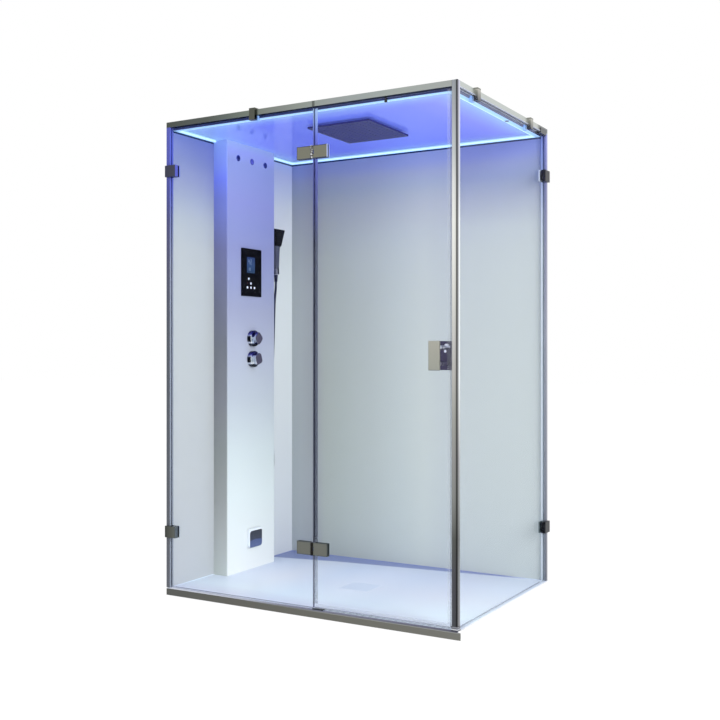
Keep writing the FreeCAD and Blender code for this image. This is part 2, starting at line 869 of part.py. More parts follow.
rain_x = x_right - rain_from_right
rain_y = y_front + rain_from_front
pipe_x = left_wall_in + column_depth / 2
wall_edge = ceiling_frame_leg + clamp_play
rail_edge = clamp_room + clamp_play
ceiling = block(left_wall_in + wall_edge, rail_in_right - rail_edge,
                rail_in_front + rail_edge, rear_wall_in - wall_edge,
                ceiling_underside, ceiling_top)
ceiling = ceiling.cut(
    rod_z(ceiling_underside - 1, ceiling_top + 1, rain_x, rain_y, rain_stem_radius + 1)
)
ceiling = ceiling.cut(
    rod_z(ceiling_underside - 1, ceiling_top + 1, pipe_x, column_y, riser_hole_radius)
)
ceiling = ceiling.cut(
    rod_z(ceiling_underside - 1, ceiling_top + 1, sensor_x, sensor_y, sensor_shank_radius)
)
save("ceiling_panel", ceiling)
sensor = rod_z(frame_bottom - 3, frame_bottom, sensor_x, sensor_y, sensor_radius)
sensor = sensor.fuse(
    rod_z(frame_bottom, ceiling_top + 6, sensor_x, sensor_y, sensor_shank_radius)
)
save("steam_temperature_sensor", sensor.removeSplitter())

diffuser = block(ledge_left, ledge_right, ledge_front, ledge_rear,
                 ceiling_underside - led_height, ceiling_underside)
diffuser = diffuser.cut(
    block(ledge_left + led_width, ledge_right - led_width, ledge_front + led_width,
          ledge_rear - led_width, frame_bottom - 1, ceiling_underside + 1)
)
diffuser = diffuser.cut(
    block(ledge_left - 1, column_face + clamp_play, column_front_side - clamp_play,
          column_rear_side + clamp_play, frame_bottom - 1, ceiling_underside + 1)
)
save("led_diffuser", diffuser)

# ---------------------------------------------------------------- rain head
rain_top = ceiling_underside - rain_boss_height
rain_underside = rain_top - rain_body_thickness
rain_body = rounded_block(
    rain_x - rain_width / 2, rain_x + rain_width / 2, rain_y - rain_depth / 2,
    rain_y + rain_depth / 2, rain_underside, rain_top, rain_corner_radius, along_z,
)
face_half_x = rain_width / 2 - rain_face_margin
face_half_y = rain_depth / 2 - rain_face_margin
rain_body = rain_body.cut(
    block(rain_x - face_half_x, rain_x + face_half_x, rain_y - face_half_y,
          rain_y + face_half_y, rain_underside - 1, rain_underside + rain_face_thickness)
)
elbow_top = ceiling_top + rain_elbow_height
elbow_half = rain_elbow_side / 2
rain_body = rain_body.fuse(
    rod_z(rain_top, ceiling_underside, rain_x, rain_y, rain_boss_radius)
)
rain_body = rain_body.fuse(
    rod_z(ceiling_underside, ceiling_top, rain_x, rain_y, rain_stem_radius)
)
rain_body = rain_body.fuse(
    block(rain_x - elbow_half, rain_x + elbow_half, rain_y - elbow_half, rain_y + elbow_half,
          ceiling_top, elbow_top)
)
save("rain_head_body", rain_body.removeSplitter())

rain_face = block(rain_x - face_half_x, rain_x + face_half_x, rain_y - face_half_y,
                  rain_y + face_half_y, rain_underside, rain_underside + rain_face_thickness)
pitch_x = 2 * face_half_x / nozzle_columns
pitch_y = 2 * face_half_y / nozzle_rows
nozzles = []
for column in range(nozzle_columns):
    for row in range(nozzle_rows):
        nozzle_x = rain_x - face_half_x + (column + 0.5) * pitch_x
        nozzle_y = rain_y - face_half_y + (row + 0.5) * pitch_y
        nozzles.append(
            rod_z(rain_underside - nozzle_height, rain_underside + 1, nozzle_x, nozzle_y, nozzle_radius)
        )
rain_face = rain_face.multiFuse(nozzles)
save("rain_head_face", rain_face.removeSplitter())

# ---------------------------------------------------------------- service column
outlet_y = column_y + outlet_offset
hose_elbow_x = left_wall_in + hose_elbow_from_wall
column = rounded_block(left_wall_in - 10, column_face, column_front_side, column_rear_side,
                       floor_level, ceiling_underside, column_edge_radius, along_z)
column = column.cut(
    block(left_wall_in - 11, column_face - column_wall, column_front_side + column_wall,
          column_rear_side - column_wall, floor_level - 1, ceiling_underside - column_wall)
)
column = column.cut(
    block(left_wall_in - 11, left_wall_in, column_front_side - 1, column_rear_side + 1,
          floor_level - 1, ceiling_underside + 1)
)
lamp_height = ceiling_underside - lamp_drop
lamp_ys = [column_y + lamp_offset + step * lamp_spacing for step in (-1, 0, 1)]
for lamp_y in lamp_ys:
    column = column.cut(
        rod_x(column_face - 10, column_face + 1, lamp_y, lamp_height, lamp_body_radius + 0.3)
    )
panel_y = column_y + panel_offset
panel_top = panel_bottom + panel_height
box_half = panel_width / 2 - panel_border
column = column.cut(
    block(column_face - 10, column_face + 1, panel_y - box_half - clamp_play,
          panel_y + box_half + clamp_play, panel_bottom + panel_border - clamp_play,
          panel_top - panel_border + clamp_play)
)
knob_heights = (knob_upper_height, knob_lower_height)
for height in knob_heights:
    column = column.cut(
        rod_x(column_face - 10, column_face + 1, knob_y, height, neck_radius + clamp_play)
    )
column = column.cut(
    rod_x(column_face - 10, column_face + 1, outlet_y, outlet_level,
          pipe_radius + clamp_play)
)
column = column.cut(
    rod_y(column_rear_side - 10, column_rear_side + 1, hose_elbow_x, hose_elbow_height,
          hose_elbow_radius - 2 + clamp_play)
)
column = column.cut(
    rod_z(ceiling_underside - 10, ceiling_underside + 1, pipe_x, column_y, riser_hole_radius)
)
save("column_housing", column)

lamps = []
for lamp_y in lamp_ys:
    lamp = rod_x(column_face - lamp_body_length, column_face, lamp_y, lamp_height,
                 lamp_body_radius)
    rim = rod_x(column_face, column_face + lamp_rim, lamp_y, lamp_height, lamp_radius)
    rim = soften(
        rim, lamp_rim * 0.45,
        lambda edge, middle: abs(edge.CenterOfMass.x - column_face - lamp_rim) < 0.01,
    )
    lamps.append(lamp.fuse(rim).removeSplitter())
save("column_lamps", lamps)

# ---------------------------------------------------------------- control panel
panel_face = column_face + panel_thickness
panel_low_y = panel_y - panel_width / 2
panel_high_y = panel_y + panel_width / 2
panel = rounded_block(column_face, panel_face, panel_low_y, panel_high_y, panel_bottom,
                      panel_top, 3.0, along_x)
panel = panel.fuse(
    block(column_face - panel_box_depth, column_face, panel_y - box_half, panel_y + box_half,
          panel_bottom + panel_border, panel_top - panel_border)
)
display_y = panel_y + display_offset
display_bottom = panel_bottom + display_rise
key_row_level = panel_bottom + key_row_rise
key_row_y = panel_y + key_row_shift
key_places = {
    "key_down": (key_row_y - key_row_pitch, key_row_level),
    "key_power": (key_row_y, key_row_level),
    "key_up": (key_row_y + key_row_pitch, key_row_level),
    "key_light": (key_row_y, key_row_level + key_light_rise),
    "key_steam": (key_row_y + key_steam_shift, key_row_level + key_steam_rise),
}
panel = panel.cut(
    block(panel_face - display_depth, panel_face + 1, display_y - display_width / 2,
          display_y + display_width / 2, display_bottom, display_bottom + display_height)
)
key_inner = panel_face + key_proud - key_thickness
pocket_floor = key_inner - key_travel - key_stop_gap
for key_y, height in key_places.values():
    panel = panel.cut(
        rod_x(pocket_floor, panel_face + 1, key_y, height, key_radius + key_play)
    )
save("control_panel", panel.removeSplitter())
save(
    "display_window",
    block(panel_face - display_depth, panel_face - display_depth + display_glass,
          display_y - display_width / 2, display_y + display_width / 2,
          display_bottom, display_bottom + display_height),
)
for key_name, (key_y, height) in key_places.items():
    key = rod_x(key_inner, panel_face + key_proud, key_y, height, key_radius)
    key = soften(
        key, 0.5,
        lambda edge, middle: abs(edge.CenterOfMass.x - panel_face - key_proud) < 0.01,
    )
    save(key_name, key)

# ---------------------------------------------------------------- mixer valve and its two knobs
mixer_back = left_wall_in + (column_depth - column_wall - mixer_depth) / 2
mixer_front = mixer_back + mixer_depth
mixer_low = knob_lower_height - mixer_end_margin
mixer_high = knob_upper_height + mixer_end_margin
mixer_x = mixer_back + mixer_depth / 2
mixer = rounded_block(mixer_back, mixer_front, knob_y - mixer_width / 2,
                      knob_y + mixer_width / 2, mixer_low, mixer_high, 8.0, along_z)
for height in knob_heights:
    mixer = mixer.fuse(rod_x(mixer_x, column_face, knob_y, height, neck_radius))
mixer = mixer.fuse(
    rod_y(knob_y - supply_spacing / 2, knob_y + supply_spacing / 2, mixer_x, supply_height,
          mixer_arm_radius)
)
for side in (-1, 1):
    inlet_y = knob_y + side * supply_spacing / 2
    mixer = mixer.fuse(
        rod_x(left_wall_out, mixer_x, inlet_y, supply_height, mixer_arm_radius)
    )
    mixer = mixer.cut(
        rod_x(left_wall_out - 1, left_wall_out + thread_length, inlet_y, supply_height,
              thread_minor_radius)
    )
spindle_inner = column_face - spindle_depth
for height in knob_heights:
    mixer = mixer.cut(
        rod_x(spindle_inner - 1, column_face + 1, knob_y, height, spindle_radius + spindle_play)
    )
save("mixer_body", mixer.removeSplitter())

sleeves = []
for height in knob_heights:
    sleeve = rod_x(column_face, column_face + sleeve_length, knob_y, height, sleeve_radius)
    sleeve = soften(
        sleeve, sleeve_edge_radius,
        lambda edge, middle: abs(edge.CenterOfMass.x - column_face - sleeve_length) < 0.01,
    )
    sleeve = sleeve.cut(
        rod_x(column_face - 1, column_face + sleeve_length + 1, knob_y, height,
              spindle_radius + spindle_play)
    )
    sleeves.append(sleeve)
save("knob_sleeves", sleeves)

knob_inner = column_face + sleeve_length + knob_gap
knob_outer = knob_inner + knob_length


def valve_knob(height, turn):
    """A round knob with four flats, turned to where it stands, on its spindle."""
    half = knob_flat / 2
    knob = rod_x(knob_inner, knob_outer, knob_y, height, knob_radius)
    flats = block(knob_inner, knob_outer, knob_y - half, knob_y + half, height - half,
                  height + half)
    flats.rotate(Vector(knob_inner, knob_y, height), along_x, turn)
    knob = knob.common(flats)
    knob = soften(
        knob, knob_edge_radius,
        lambda edge, middle: abs(middle.x - knob_outer) < 0.01,
    )
    return knob.fuse(
        rod_x(spindle_inner, knob_inner, knob_y, height, spindle_radius)
    ).removeSplitter()


save("temperature_knob", valve_knob(knob_upper_height, 45))
save("flow_knob", valve_knob(knob_lower_height, 20))

# ---------------------------------------------------------------- steam generator and its outlet
generator_front_side = column_front_side + column_wall + generator_side_gap
generator_rear_side = generator_front_side + generator_width
generator_back = left_wall_in + generator_side_gap / 2
generator_top = generator_bottom + generator_height
generator = rounded_block(generator_back, generator_back + generator_depth,
                          generator_front_side, generator_rear_side, generator_bottom,
                          generator_top, 6.0, along_z)
foot_inset = 20.0
for foot_y in (generator_front_side + foot_inset, generator_rear_side - foot_inset):
    for foot_z in (generator_bottom + foot_inset, generator_top - foot_inset):
        generator = generator.fuse(rod_x(left_wall_in, generator_back + 1, foot_y, foot_z, 8.0))
save("steam_generator", generator.removeSplitter())

steam_start_y = generator_rear_side - 40.0
steam_side_y = column_y + steam_pipe_side
steam_top = generator_top + steam_pipe_rise
steam_pipe = bent_tube(
    [
        Vector(pipe_x, steam_start_y, generator_top),
        Vector(pipe_x, steam_start_y, steam_top),
        Vector(pipe_x, steam_side_y, steam_top),
        Vector(pipe_x, steam_side_y, outlet_level),
        Vector(pipe_x, outlet_y, outlet_level),
        Vector(column_face, outlet_y, outlet_level),
    ],
    pipe_radius, pipe_bend, pipe_radius - 1.5,
)
save("steam_pipe", steam_pipe)

outlet_low = outlet_level - outlet_height / 2
outlet_high = outlet_level + outlet_height / 2
outlet_face = column_face + outlet_depth
outlet = rounded_block(column_face, outlet_face, outlet_y - outlet_width / 2,
                       outlet_y + outlet_width / 2, outlet_low, outlet_high,
                       outlet_corner_radius, along_x)
outlet = soften(
    outlet, 4.0,
    lambda edge, middle: abs(middle.x - outlet_face) < 0.01,
)
cavity_half = outlet_slot_width / 2
outlet = outlet.cut(
    block(column_face - 1, outlet_face - outlet_wall, outlet_y - cavity_half,
          outlet_y + cavity_half, outlet_low - 1, outlet_high - outlet_corner_radius / 2)
)
save("steam_outlet_cover", outlet)

# ---------------------------------------------------------------- riser from the mixer to the rain head
riser_level = ceiling_top + rain_elbow_height / 2
rain_pipe = bent_tube(
    [
        Vector(pipe_x, column_y, mixer_high),
        Vector(pipe_x, column_y, riser_level),
        Vector(rain_x, column_y, riser_level),
        Vector(rain_x, rain_y + elbow_half, riser_level),
    ],
    pipe_radius, pipe_bend, pipe_radius - 1.5,
)
save("rain_pipe", rain_pipe)

# ---------------------------------------------------------------- hand shower on its wall bracket
hand_x = left_wall_in + handset_from_wall
hand_y = y_front + handset_from_front
seat_low = handset_seat_height - cradle_length / 2
seat_high = handset_seat_height + cradle_length / 2
bracket = rod_x(left_wall_in, left_wall_in + bracket_plate_thickness, hand_y,
                handset_seat_height, bracket_plate_radius)
bracket = bracket.fuse(
    rod_x(left_wall_in, hand_x - cradle_bore - 1, hand_y, handset_seat_height,
          bracket_arm_radius)
)
bracket = bracket.fuse(rod_z(seat_low, seat_high, hand_x, hand_y, cradle_radius))
bracket = bracket.cut(rod_z(seat_low - 1, seat_high + 1, hand_x, hand_y, cradle_bore))
bracket = bracket.cut(
    block(hand_x, hand_x + cradle_radius + 1, hand_y - cradle_slot / 2,
          hand_y + cradle_slot / 2, seat_low - 1, seat_high + 1)
)
save("handset_bracket", bracket.removeSplitter())

grip_bottom = seat_low - 4
collar_low = seat_high
head_top = grip_bottom + handset_length
head_low = head_top - head_height
grip = rod_z(grip_bottom, collar_low, hand_x, hand_y, grip_lower_radius)
grip = grip.fuse(
    Part.makeCone(grip_collar_radius, grip_upper_radius, head_low - collar_low,
                  Vector(hand_x, hand_y, collar_low), along_z)
)
head_lean = 10.0


def head_section(height, width, shift, thickness):
    """One level outline of the head: flat towards the cabin, rounded towards the wall."""
    half = width / 2
    front = hand_x + shift + thickness / 2
    back = hand_x + shift - thickness / 2
    corner = min(thickness, width) * 0.3
    bottom_left = Vector(back, hand_y - half + corner, height)
    top_left = Vector(back, hand_y + half - corner, height)
    front_left = Vector(front, hand_y - half, height)
    front_right = Vector(front, hand_y + half, height)
    middle_left = Vector(back + corner * 0.3, hand_y - half + corner * 0.3, height)
    middle_right = Vector(back + corner * 0.3, hand_y + half - corner * 0.3, height)
    side_left = Vector(back + corner, hand_y - half, height)
    side_right = Vector(back + corner, hand_y + half, height)
    return Part.Wire([
        Part.LineSegment(front_left, front_right).toShape(),
        Part.LineSegment(front_right, side_right).toShape(),
        Part.Arc(side_right, middle_right, top_left).toShape(),
        Part.LineSegment(top_left, bottom_left).toShape(),
        Part.Arc(bottom_left, middle_left, side_left).toShape(),
        Part.LineSegment(side_left, front_left).toShape(),
    ])


head = Part.makeLoft(
    [
        head_section(head_low, head_bottom_width, 0.0, head_thickness),
        head_section(head_top, head_top_width, head_lean, head_thickness),
    ],
    True, True,
)
save("handset_body", grip.fuse(head).removeSplitter())
face_inset = 6.0


def face_outline(push):
    """The black spray face: a plate that lies on the head's sloping front."""
    low_x = hand_x + head_thickness / 2 + push
    high_x = low_x + head_lean
    low_z = head_low + face_inset
    high_z = head_top - face_inset
    slope = head_lean / head_height
    low_half = head_bottom_width / 2 - face_inset + (head_top_width - head_bottom_width) * 0.035
    high_half = head_top_width / 2 - face_inset - (head_top_width - head_bottom_width) * 0.035
    corners = [
        Vector(low_x + slope * face_inset, hand_y - low_half, low_z),
        Vector(low_x + slope * face_inset, hand_y + low_half, low_z),
        Vector(high_x - slope * face_inset, hand_y + high_half, high_z),
        Vector(high_x - slope * face_inset, hand_y - high_half, high_z),
    ]
    return Part.makePolygon(corners + [corners[0]])


save(
    "handset_face",
    Part.makeLoft([face_outline(0.0), face_outline(head_face_thickness)], True, True),
)

nut_top = grip_bottom
nut_bottom = nut_top - nut_length
nut = Part.makeCone(nut_radius - 2, nut_radius, nut_length, Vector(hand_x, hand_y, nut_bottom),
                    along_z)
save("handset_nut", nut)

# The elbow on the column's rear side that the hose screws onto, its nipple pointing down.
elbow_y = column_rear_side + hose_elbow_reach
elbow_low = hose_elbow_height - hose_elbow_drop
hose_elbow = rod_y(column_rear_side, column_rear_side + 4, hose_elbow_x, hose_elbow_height,
                   hose_elbow_radius + 6)
hose_elbow = hose_elbow.fuse(
    rod_y(column_rear_side - 30, elbow_y, hose_elbow_x, hose_elbow_height,
          hose_elbow_radius - 2)
)
hose_elbow = hose_elbow.fuse(
    Part.makeSphere(hose_elbow_radius, Vector(hose_elbow_x, elbow_y, hose_elbow_height))
)
hose_elbow = hose_elbow.fuse(
    rod_z(elbow_low, hose_elbow_height, hose_elbow_x, elbow_y, hose_elbow_radius - 1)
)
save("hose_elbow", hose_elbow.removeSplitter())

# ---------------------------------------------------------------- shower hose
# The hose hangs from the hand shower's nut, drifts behind the column's rear edge, turns once
# low down and climbs to the elbow. Each place on the way down is the offset from the
# nut towards the cabin, towards the rear and down; on the way up, the offset from the elbow's
# mouth; the turn between them lies in one upright plane.
hose_going_down = [
    (0.0, 0.0, 0.0),
    (0.0, 0.0, 36.0),
    (-3.2, -5.4, 84.0),
    (-5.4, -7.6, 168.0),
    (-9.4, -7.2, 300.0),
    (-17.4, -4.6, 450.0),
    (-27.6, 2.4, 600.0),
    (-36.6, 17.2, 745.0),
    (-41.6, 33.0, 870.0),
]
hose_going_up = [
    (24.4, -11.2, 395.0),
    (18.0, -7.6, 300.0),
    (9.0, -3.0, 190.0),
    (1.8, -0.4, 98.0),
    (0.0, 0.0, 40.0),
    (0.0, 0.0, 0.0),
]
hose_turn_side = 39.0
hose_turn_legs = 91.8
hose_turn_left = (-42.3, 36.6)
hose_turn_right = (5.4, -41.8)
hose_turn_low = 966.0
hose_start = Vector(hand_x, hand_y, nut_bottom)
hose_end = Vector(hose_elbow_x, elbow_y, elbow_low)
hose_points = [hose_start.add(Vector(out, back, -down)) for out, back, down in hose_going_down]
turn_start = hose_start.add(Vector(hose_turn_left[0], hose_turn_left[1], -hose_turn_low))
turn_way = Vector(hose_turn_right[0] - hose_turn_left[0], hose_turn_right[1] - hose_turn_left[1], 0)
turn_way.normalize()
turn_rise = hose_turn_side / math.sqrt(2)
for along, rise in (
    (0.0, turn_rise),
    (turn_rise, 0.0),
    (hose_turn_legs - turn_rise, 0.0),
    (hose_turn_legs, turn_rise),
):
    hose_points.append(turn_start.add(turn_way * along).add(Vector(0, 0, rise)))
hose_points += [hose_end.add(Vector(out, back, -down)) for out, back, down in hose_going_up]


def tangent_route(points):
    """Straight runs joined by arcs as large as their runs allow; prints each radius."""
    edges = []
    radii = []
    start = points[0]
    for index in range(1, len(points) - 1):
        corner = points[index]
        into = corner.sub(points[index - 1])
        out = points[index + 1].sub(corner)
        shorter = min(into.Length, out.Length)
        turn = into.getAngle(out)
        trim = 0.45 * shorter
        radius = trim / math.tan(turn / 2)
        into.normalize()
        out.normalize()
        arc_start = corner.sub(into * trim)
        arc_end = corner.add(out * trim)
        bisector = out.sub(into).normalize()
        centre = corner.add(bisector * (radius / math.cos(turn / 2)))
        arc_middle = centre.sub(bisector * radius)
        edges.append(Part.LineSegment(start, arc_start).toShape())
        edges.append(Part.Arc(arc_start, arc_middle, arc_end).toShape())
        radii.append(radius)
        start = arc_end
    edges.append(Part.LineSegment(start, points[-1]).toShape())
    return Part.Wire(edges), radii


hose_path, hose_radii = tangent_route(hose_points)
hose_ring = Part.Wire([Part.makeCircle(hose_diameter / 2, hose_points[0], Vector(0, 0, -1))])
hose_core = Part.Wire([Part.makeCircle(hose_bore / 2, hose_points[0], Vector(0, 0, -1))])
hose_outer = hose_path.makePipeShell([hose_ring], True, False)
hose_inner = hose_path.makePipeShell([hose_core], True, False)
save("shower_hose", hose_outer.cut(hose_inner))
hose_section = math.pi * (hose_diameter / 2) ** 2
print("hose radii", [round(radius) for radius in hose_radii])
print("hose length", round(hose_path.Length), "volume ratio",
      round(hose_outer.Volume / (hose_section * hose_path.Length), 4))
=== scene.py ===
import math

import bmesh
import bpy
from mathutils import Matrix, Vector


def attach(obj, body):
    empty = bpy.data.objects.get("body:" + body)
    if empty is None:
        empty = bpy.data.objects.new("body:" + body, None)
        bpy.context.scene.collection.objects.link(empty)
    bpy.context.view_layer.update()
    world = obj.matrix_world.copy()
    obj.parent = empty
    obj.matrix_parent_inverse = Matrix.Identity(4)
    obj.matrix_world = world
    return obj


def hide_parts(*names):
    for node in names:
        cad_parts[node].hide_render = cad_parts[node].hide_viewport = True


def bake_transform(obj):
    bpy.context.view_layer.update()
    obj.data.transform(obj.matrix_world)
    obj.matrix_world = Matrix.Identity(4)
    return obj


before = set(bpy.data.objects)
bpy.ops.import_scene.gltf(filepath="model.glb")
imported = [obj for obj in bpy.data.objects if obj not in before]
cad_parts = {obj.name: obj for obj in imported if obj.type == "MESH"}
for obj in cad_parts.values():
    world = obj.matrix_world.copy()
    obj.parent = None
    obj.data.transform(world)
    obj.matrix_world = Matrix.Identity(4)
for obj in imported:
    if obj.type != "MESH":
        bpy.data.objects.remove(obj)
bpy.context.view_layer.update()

# ---------------- camera
# The place the cabin is seen from: front right, at chest height, with the upright edges
# kept upright by a level camera whose film is moved down a little.
camera_data = bpy.data.cameras.new("camera")
camera_data.lens = 50.235
camera_data.sensor_width = 36.0
camera_data.shift_y = -0.0096
camera = bpy.data.objects.new("camera", camera_data)
camera.location = (2.3316, -3.9965, 1.1008)
camera.rotation_euler = (math.radians(90), 0.0, math.radians(30.21))
bpy.context.collection.objects.link(camera)
bpy.context.scene.camera = camera
bpy.context.scene.view_settings.view_transform = "Standard"


# ---------------- shower hose
# A limp metal-wound hose, 13 mm thick and 1.5 m long. It hangs from the hand shower's nut
# behind the column, turns once low down and climbs to the elbow on the column's rear side.
def working(operation, swapped=False):
    """Makes a method that adds one Math node, with its two values swapped if wanted."""
    def method(tone, *others):
        values = (*others, tone) if swapped else (tone, *others)
        return tone.nodes.node("Math", values, operation=operation)
    return method


class Tone:
    """One output of a shader node. Arithmetic on it adds Math nodes."""

    __add__ = __radd__ = working("ADD")
    __sub__, __rsub__ = working("SUBTRACT"), working("SUBTRACT", True)
    __mul__ = __rmul__ = working("MULTIPLY")
    __gt__, __lt__ = working("GREATER_THAN"), working("LESS_THAN")
    __or__, __and__ = working("MAXIMUM"), working("MINIMUM")
    __abs__, sine = working("ABSOLUTE"), working("SINE")

    def __init__(self, nodes, socket):
        self.nodes = nodes
        self.socket = socket


class Nodes:
    """The node tree of a finish or of the sky."""

    def __init__(self, owner, output_name):
        owner.use_nodes = True
        self.tree = owner.node_tree
        self.output = self.tree.nodes[output_name].inputs["Surface"]

    def join(self, value, socket):
        if isinstance(value, Tone):
            self.tree.links.new(value.socket, socket)
        elif isinstance(value, tuple) and len(value) == 3 and socket.type == "RGBA":
            socket.default_value = (*value, 1.0)
        else:
            socket.default_value = value

    def node(self, kind, values=(), output=0, **settings):
        """A node of any kind: its settings first, then what its sockets hold or are linked to."""
        made = self.tree.nodes.new("ShaderNode" + kind)
        for name, value in settings.items():
            setattr(made, name, value)
        for name, value in values.items() if isinstance(values, dict) else enumerate(values):
            self.join(value, made.inputs[name])
        return Tone(self, made.outputs[output])


class Surface(Nodes):
    """A finish: one Principled shader and the nodes that feed it."""

    def __init__(self, name, roughness, metallic=0.0, colour=None, shine=None):
        self.material = bpy.data.materials.new(name)
        super().__init__(self.material, "Material Output")
        self.shader = self.tree.nodes["Principled BSDF"]
        self.shaded = Tone(self, self.shader.outputs[0])
        self.feed("Roughness", roughness)
        self.feed("Metallic", metallic)
        if colour:
            self.feed("Base Color", colour)
        if shine is not None:
            self.feed("Specular IOR Level", shine)

    def feed(self, socket_name, value):
        self.join(value, self.shader.inputs[socket_name])
        return self

    def places(self, axes="XYZ"):
        """The distances along the named axes in the cabin's frame, in metres."""
        spot = self.node("TexCoord", output="Object")
        return [self.node("SeparateXYZ", [spot], axis) for axis in axes]

    def noise(self, scale, detail=2.0, stretch=(1.0, 1.0, 1.0)):
        spot = self.node("TexCoord", output="Object")
        spread = self.node("Mapping", {"Vector": spot, "Scale": stretch})
        return self.node("TexNoise", {"Vector": spread, "Scale": scale, "Detail": detail})

    def stained(self, colour, stain):
        """One colour multiplied by another, or darkened by a number."""
        values = {0: 1.0, 6: colour, 7: stain}
        return self.node("Mix", values, 2, data_type="RGBA", blend_type="MULTIPLY")

    def grained(self, colour, share, scale, stretch=(1.0, 1.0, 1.0)):
        """A colour that wavers in brightness by a share, with grain of one scale."""
        return self.stained(colour, self.noise(scale, 3.0, stretch) * share + (1.0 - share / 2))

    def paint(self, colour, share, scale, stretch=(1.0, 1.0, 1.0)):
        return self.feed("Base Color", self.grained(colour, share, scale, stretch))

    def lit(self, colour, strength):
        return self.feed("Emission Color", colour).feed("Emission Strength", strength)

    def raised(self, height, strength, depth):
        values = {"Strength": strength, "Distance": depth, "Height": height}
        return self.feed("Normal", self.node("Bump", values))

    def pebbled(self, strength, depth, scale, detail, stretch=(1.0, 1.0, 1.0)):
        """Raises a grain of one scale on the finish."""
        return self.raised(self.noise(scale, detail, stretch), strength, depth)

    def on(self, *pieces):
        """Gives pieces, or CAD nodes by name, this finish all over."""
        for piece in pieces:
            if isinstance(piece, str):
                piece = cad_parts[piece]
            if not piece.material_slots:
                piece.data.materials.append(self.material)
            for slot in piece.material_slots:
                slot.material = self.material


def mixed(amount, first, second):
    """The second colour laid over the first by the amount."""
    return amount.nodes.node("Mix", {0: amount, 6: first, 7: second}, 2, data_type="RGBA")


def eased(tone, low, high, low_value=0.0, high_value=1.0):
    """A tone between two values brought to a share between two others."""
    return tone.nodes.node("MapRange", [tone, low, high, low_value, high_value])


def ramp(tone, stops):
    """Colours along a distance, each stop a distance and a colour."""
    low, high = stops[0][0], stops[-1][0]
    made = tone.nodes.node("ValToRGB", [eased(tone, low, high)])
    elements = made.socket.node.color_ramp.elements
    for place, colour in stops[1:-1]:
        elements.new((place - low) / (high - low))
    for element, (place, colour) in zip(elements, stops):
        element.color = (*colour, 1.0)
    return made


def graded(tone, *stops):
    """The same with colours as seen: each stop is a distance, red, green and blue."""
    return ramp(tone, [(place, seen(*colour)) for place, *colour in stops])


def seen(red, green, blue):
    """A colour given as it looks on a screen, 0 to 255, as the light it reflects."""
    shares = [channel / 255.0 for channel in (red, green, blue)]
    return tuple(
        share / 12.92 if share <= 0.04045 else ((share + 0.055) / 1.055) ** 2.4
        for share in shares
    )


hose_start = Vector((-0.668, 0.288, 1.471))
hose_end = Vector((-0.690, 0.259, 0.985))
hose_going_down = [
    (0.0, 0.0, 0.0), (0.0, 0.0, 0.036), (-0.0032, -0.0054, 0.084), (-0.0054, -0.0076, 0.168),
    (-0.0094, -0.0072, 0.300), (-0.0174, -0.0046, 0.450), (-0.0276, 0.0024, 0.600),
    (-0.0366, 0.0172, 0.745), (-0.0416, 0.0330, 0.870)
]
hose_going_up = [
    (0.0244, -0.0112, 0.395), (0.0180, -0.0076, 0.300), (0.0090, -0.0030, 0.190),
    (0.0018, -0.0004, 0.098), (0.0, 0.0, 0.040), (0.0, 0.0, 0.0)
]
hose_turn_side = 0.039
hose_turn_legs = 0.0918
hose_turn_left = Vector((-0.0423, 0.0366, 0.0))
hose_turn_right = Vector((0.0054, -0.0418, 0.0))
hose_turn_low = 0.966
hose_diameter = 0.013

hose_route = [hose_start + Vector((out, back, -down)) for out, back, down in hose_going_down]
turn_start = hose_start + hose_turn_left - Vector((0.0, 0.0, hose_turn_low))
turn_way = (hose_turn_right - hose_turn_left).normalized()
turn_rise = hose_turn_side / math.sqrt(2)
for along, rise in (
    (0.0, turn_rise), (turn_rise, 0.0),
    (hose_turn_legs - turn_rise, 0.0), (hose_turn_legs, turn_rise),
):
    hose_route.append(turn_start + turn_way * along + Vector((0.0, 0.0, rise)))
hose_route += [hose_end + Vector((out, back, -down)) for out, back, down in hose_going_up]
hose_route.reverse()

hose_curve = bpy.data.curves.new("hose_line", "CURVE")
hose_curve.dimensions = "3D"
hose_curve.resolution_u = 24
hose_spline = hose_curve.splines.new("NURBS")
hose_spline.points.add(len(hose_route) - 1)
for point, place in zip(hose_spline.points, hose_route):
    point.co = (*place, 1.0)
hose_spline.order_u = 3
hose_spline.use_endpoint_u = True
hose_line = bpy.data.objects.new("hose_line", hose_curve)
bpy.context.collection.objects.link(hose_line)
bpy.context.view_layer.update()
line_mesh = bpy.data.meshes.new_from_object(hose_line)
hose_path = [vertex.co.copy() for vertex in line_mesh.vertices]
bpy.data.objects.remove(hose_line)
bpy.data.meshes.remove(line_mesh)


def mesh_piece(name, shape, smooth=True):
    """Makes a piece of a bmesh, with its place in its mesh."""
    data = bpy.data.meshes.new(name)
    shape.normal_update()
    shape.to_mesh(data)
    shape.free()
    if smooth:
        data.shade_smooth()
    piece = bpy.data.objects.new(name, data)
    bpy.context.collection.objects.link(piece)
    return piece


def even_steps(path, step):
    """Points a set distance apart along a path, from its first point to its last."""
    spans = [(b - a).length for a, b in zip(path, path[1:])]
    count = max(2, round(sum(spans) / step))
    wanted = sum(spans) / count
    points = [path[0].copy()]
    index, walked = 0, 0.0
    for number in range(1, count):
        target = number * wanted
        while walked + spans[index] < target:
            walked += spans[index]
            index += 1
        share = (target - walked) / spans[index]
        points.append(path[index].lerp(path[index + 1], share))
    points.append(path[-1].copy())
    return points


def skin_rings(shape, rings):
    """Joins rings of equally many points into a skin with both ends closed."""
    rows = [[shape.verts.new(place) for place in ring] for ring in rings]
    count = len(rows[0])
    for row, following in zip(rows, rows[1:]):
        for side in range(count):
            after = (side + 1) % count
            shape.faces.new((row[side], row[after], following[after], following[side]))
    shape.faces.new(list(reversed(rows[0])))
    shape.faces.new(rows[-1])


